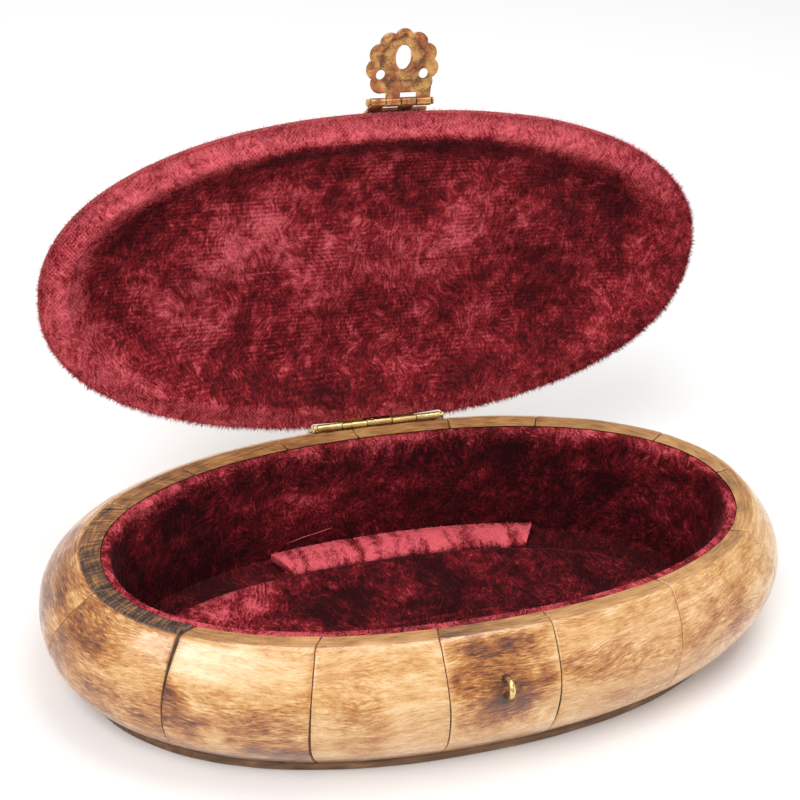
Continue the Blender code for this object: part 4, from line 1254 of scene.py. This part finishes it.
def build_strip(rng, bottom):
    """The rounded velvet strip that fills the gap behind the pad."""
    back = (bottom[0] - LINING - GAP, bottom[1] - LINING - GAP)
    top = STAVE_FOOT + STRIP_THICKNESS
    section = [(0.0, STAVE_FOOT), (0.0, top - 0.0006)]
    for share in np.linspace(0.04, 0.96, 12):
        section.append((STRIP_DEPTH * share, top - 0.0009 * abs(2 * share - 1) ** 3))
    section += [(STRIP_DEPTH, top - 0.0013), (STRIP_DEPTH, STAVE_FOOT)]
    band = Band(*back, section, angles=STRIP_ANGLES, centre=(0.0, INNER_SHIFT))
    sweep = band.rings(band.even_angles(90)).swapaxes(0, 1)
    faces = capped_grid(*sweep.shape[:2])
    strip = velvet_piece("base_velvet_strip", sweep, faces, strip_tone, 50, "base_lining_strip")
    size, shares = (0.00130, 0.00009), (0.05, 0.98)
    batches = [nap_batch(band, 12000, rng, size, 0.6, strip_tone, shares, spread=0.6)]
    pile_object("base_velvet_strip_pile", batches, VELVET_BASE, "base")


# Brass

LOBE_STEPS = 20
HASP_HALF_SHEET = HASP_SHEET * 0.42
HASP_RELIEF, HASP_EDGE_ROUND = 0.00022, 0.00010
HOLE_INSET, HOLE_RADIUS, HOLE_DEPTH = 0.0006, 0.00082, 0.0014


def latch():
    """The staple's foot, how far the closed hasp reaches to it, and the hasp's angle there."""
    z = BODY_HEIGHT - STAPLE_DROP
    foot = Vector((LATCH_X, -wall_half(z)[1], z))
    away = foot - HASP_AXIS
    reach = math.sqrt(away.length**2 - LATCH_CLEARANCE**2)
    angle = math.atan2(-away.z, -away.y) - math.asin(LATCH_CLEARANCE / away.length)
    return foot, reach, angle


def hasp_edge():
    """The hasp's scalloped edge, closed along its straight bottom, as (x, reach)."""
    half = HASP_WIDTH / 2
    middle = HASP_REACH - half
    low = math.degrees(math.asin((middle - HASP_START + 0.0006) / (half - HASP_LOBE_DEPTH)))
    first, last = 180 + low, -low
    points = []
    for i in range(HASP_LOBES * LOBE_STEPS + 1):
        share = i / (HASP_LOBES * LOBE_STEPS)
        lobe = (i % LOBE_STEPS) / LOBE_STEPS
        angle = math.radians(first + (last - first) * share)
        radius = half - HASP_LOBE_DEPTH * (1 - math.sin(math.pi * lobe) ** 0.7)
        points.append((radius * math.cos(angle), middle + radius * math.sin(angle)))
    return points + np.linspace(points[-1], points[0], 25)[1:-1].tolist()


def build_hasp():
    """The pressed leaf as a sheet swept round its slot, with bosses on its lobes and a raised rim."""
    edge = np.array(hasp_edge())
    centre = np.array((0.0, latch()[1]))
    away = edge - centre
    turn = np.arctan2(away[:, 1], away[:, 0])
    slot = np.stack((SLOT_WIDTH / 2 * np.cos(turn), SLOT_LENGTH / 2 * np.sin(turn)), axis=1) + centre
    shares = np.linspace(0, 1, 22)
    verts, worn = [], []
    for side in (1, -1):
        for share in shares[::side]:
            ring = slot + (edge - slot) * share
            for k, (x, reach) in enumerate(ring):
                boss = 0.0
                if k <= HASP_LOBES * LOBE_STEPS:
                    lobe = (k % LOBE_STEPS) / LOBE_STEPS
                    boss = math.exp(-((share - 0.80) / 0.13) ** 2) * math.sin(math.pi * lobe) ** 2
                lip = math.exp(-((share - 0.03) / 0.07) ** 2)
                groove = math.exp(-((share - 0.52) / 0.07) ** 2)
                rough = 0.35 * wave(71, x * 900, reach * 900) + 0.2 * wave(72, x * 2300, reach * 2300)
                relief = HASP_RELIEF * (1.1 * boss + 0.8 * lip - 0.6 * groove + rough)
                edge_round = HASP_EDGE_ROUND * max(0.0, 1 - min(share, 1 - share) / 0.05)
                z = side * (HASP_HALF_SHEET - edge_round) - relief
                verts.append((LATCH_X + x, HASP_AXIS.y - reach, HASP_AXIS.z + z))
                worn.append(0.9 * boss + 0.7 * lip + 0.4 * rough - 0.5 * groove)
    faces = grid_faces(2 * len(shares), len(edge), closed_rows=True)
    obj = mesh_object("hasp_leaf", verts, faces, [BRASS_DARK], {"worn": worn}, pose=LID_POSE)
    fix_normals(obj, 50)
    for side in (-1, 1):
        place = Vector((LATCH_X + side * HASP_EYE_OFFSET, HASP_AXIS.y - HASP_EYE_REACH, HASP_AXIS.z))
        eye = rod("eye", place, (0, 0, 1), HASP_EYE_RADIUS, 0.004, BRASS_DARK, steps=28, pose=LID_POSE)
        combine(obj, "DIFFERENCE", [eye])
    spans = knuckle_spans(HASP_KNUCKLES, LATCH_X, HASP_KNUCKLE_WIDTH)[1::2]
    add_barrel(obj, HASP_AXIS, HASP_BARREL, spans, -HASP_START - HASP_SHEET, LID_POSE, BRASS_DARK)
    settle(obj, "hasp", "hasp")


def rod(name, centre, axis, radius, length, material, steps=24, pose=None):
    bm = bmesh.new()
    bmesh.ops.create_cone(
        bm, cap_ends=True, segments=steps, radius1=radius, radius2=radius, depth=length)
    turn = Vector((0, 0, 1)).rotation_difference(Vector(axis)).to_matrix().to_4x4()
    bmesh.ops.transform(bm, matrix=Matrix.Translation(centre) @ turn, verts=bm.verts)
    mesh = bpy.data.meshes.new(name)
    bm.to_mesh(mesh)
    bm.free()
    mesh.materials.append(material)
    mesh.shade_smooth()
    mesh.set_sharp_from_angle(angle=math.radians(40))
    return linked(name, mesh, pose)


def knuckle_spans(count, centre, width):
    """Where each of a hinge's knuckles starts and ends along its pin."""
    step = width / count
    start = centre - width / 2
    return [(start + k * step + GAP / 2, start + (k + 1) * step - GAP / 2) for k in range(count)]


def add_barrel(obj, axis, radius, spans, reach, pose, material):
    """Joins rolled knuckles, each with its strap to the leaf, to obj."""
    pieces = []
    for x0, x1 in spans:
        centre = Vector(((x0 + x1) / 2, axis.y, axis.z))
        pieces.append(rod("knuckle", centre, (1, 0, 0), radius, x1 - x0, material, steps=32, pose=pose))
        y_span = sorted((axis.y, axis.y + reach))
        z_span = (axis.z - HASP_HALF_SHEET, axis.z + HASP_HALF_SHEET)
        pieces.append(block((x0, x1), y_span, z_span, material, pose))
    combine(obj, "UNION", pieces)
    obj.data.set_sharp_from_angle(angle=math.radians(40))


def tube(route, steps, side_of, radius_of):
    """Vertices and faces of a wire along a route; its radius goes by point and turn."""
    verts = []
    for i, point in enumerate(route):
        ahead = (route[min(i + 1, len(route) - 1)] - route[max(i - 1, 0)]).normalized()
        side = side_of(ahead)
        other = ahead.cross(side)
        for k in range(steps):
            angle = 2 * math.pi * k / steps
            verts.append(point + (side * math.cos(angle) + other * math.sin(angle)) * radius_of(i, k))
    return verts, capped_grid(len(route), steps)


def build_staple():
    """The bent wire that the hasp's slot slips over, in two small ragged holes."""
    foot, _, turn = latch()
    down = Vector((0, -math.cos(turn), -math.sin(turn))) * STAPLE_RADIUS
    out = Vector((0, -math.sin(turn), math.cos(turn)))
    route = [foot + down - out * STAPLE_LEG, foot + down]
    for i in range(25):
        angle = math.pi * i / 24
        point = foot + out * STAPLE_REACH + down * math.cos(angle)
        route.append(point + out * STAPLE_RADIUS * math.sin(angle))
    route += [foot - down, foot - down - out * STAPLE_LEG]
    last, steps = len(route) - 1, 16

    def radius(i, k):
        swell = 0.22 * math.sin(math.pi * i / last) ** 2
        return STAPLE_WIRE * (1 + swell + 0.07 * wave(77, i * 0.7, k * 0.9))

    for side in (1, -1):
        place = foot + down * side - out * HOLE_INSET
        hole = rod("staple_hole", place, out, HOLE_RADIUS - 0.0001 * side, HOLE_DEPTH, DARK_FILL)
        settle(hole, "base")
    verts, faces = tube(route, steps, lambda ahead: Vector((1, 0, 0)), radius)
    worn = [0.4 + 0.5 * wave(78, i * 0.5, k * 0.5) for i in range(last + 1) for k in range(steps)]
    obj = mesh_object("staple_wire", verts, faces, [BRASS_BRIGHT], {"worn": worn})
    fix_normals(obj, 60)
    settle(obj, "base", "staple")


THREAD_COURSE = (
    (-0.0262, 0.0262, 0.0052), (-0.0170, 0.0272, 0.0066), (-0.0070, 0.0282, 0.0084),
    (0.0020, 0.0287, 0.0098), (0.0070, 0.0289, 0.0104),
)
THREAD_RADIUS, THREAD_STEPS = 0.00009, 60


def build_thread():
    """The loose crimson thread that lies along the back of the lining."""
    route = []
    for i in range(THREAD_STEPS + 1):
        place = i / THREAD_STEPS * (len(THREAD_COURSE) - 1)
        k = min(int(place), len(THREAD_COURSE) - 2)
        point = Vector(THREAD_COURSE[k]).lerp(Vector(THREAD_COURSE[k + 1]), place - k)
        route.append(point + Vector((0, 0.0002 * wave(95, i * 0.15), 0.0003 * wave(96, i * 0.13))))
    up = Vector((0, 0, 1))
    verts, faces = tube(
        route, 6, lambda ahead: ahead.cross(up).normalized(), lambda i, k: THREAD_RADIUS)
    attributes = {"tone": np.full(len(verts), 0.95), "tip": np.ones(len(verts))}
    obj = mesh_object("loose_thread", verts, faces, [VELVET_BASE], attributes)
    fix_normals(obj)
    settle(obj, "base")


def dress_hinges():
    """Brass for the hinge and hasp parts that stay as the CAD made them."""
    for name in ("hinge_base_leaf", "hinge_lid_leaf", "hinge_pin", "hasp_plate", "hasp_pin"):
        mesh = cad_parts[name].data
        mesh.materials.clear()
        mesh.materials.append(BRASS_BRIGHT if name.startswith("hinge") else BRASS_DARK)


# Stage

def studio():
    """A plain pale floor, three soft lamps and a pale sky."""
    half = 3.0
    corners = [(-half, -half, 0), (half, -half, 0), (half, half, 0), (-half, half, 0)]
    pale = Graph("pale_floor").finish(Base_Color=(0.93, 0.93, 0.93), Roughness=0.9)
    floor = mesh_object("floor", corners, [(0, 1, 2, 3)], [pale], smooth=False)
    lights = (
        ("key", (-0.45, -0.35, 0.75), 0.5, 5.5),
        ("fill", (0.75, -0.55, 0.40), 0.7, 1.6),
        ("top", (0.20, 0.12, 0.95), 0.55, 3.5),
    )
    for name, place, size, power in lights:
        data = bpy.data.lights.new(name, "AREA")
        data.size = size
        data.energy = power
        lamp = bpy.data.objects.new(name, data)
        lamp.location = place
        aim = Vector((0, 0, 0.03)) - Vector(place)
        lamp.rotation_euler = aim.to_track_quat("-Z", "Y").to_euler()
        bpy.context.scene.collection.objects.link(lamp)
    world = bpy.data.worlds.new("studio")
    world.use_nodes = True
    background = world.node_tree.nodes["Background"]
    background.inputs["Color"].default_value = (1, 1, 1, 1)
    background.inputs["Strength"].default_value = 0.50
    bpy.context.scene.world = world
    bpy.context.scene.view_settings.view_transform = "Standard"


def photo_camera():
    """The camera, turned by yaw, then pitch, then roll."""
    base = Matrix(((1, 0, 0), (0, 0, -1), (0, 1, 0)))
    turn = Matrix.Rotation(math.radians(CAMERA_YAW), 3, "Z")
    pitch = Matrix.Rotation(math.radians(CAMERA_PITCH), 3, "X")
    roll = Matrix.Rotation(math.radians(CAMERA_ROLL), 3, "Z")
    view = roll @ pitch @ base @ turn
    rotation = Matrix((view[0], -view[1], -view[2])).transposed()
    data = bpy.data.cameras.new("photo_camera")
    data.lens = CAMERA_LENS
    data.sensor_width = SENSOR
    data.clip_start = 0.01
    camera = bpy.data.objects.new("photo_camera", data)
    camera.matrix_world = Matrix.Translation(CAMERA_PLACE) @ rotation.to_4x4()
    bpy.context.scene.collection.objects.link(camera)
    bpy.context.scene.camera = camera


build_base_staves()
build_lid_staves()
build_glue()
build_board()
build_lid_velvet()
build_base_velvet()
build_hasp()
build_staple()
build_thread()
dress_hinges()
studio()
photo_camera()
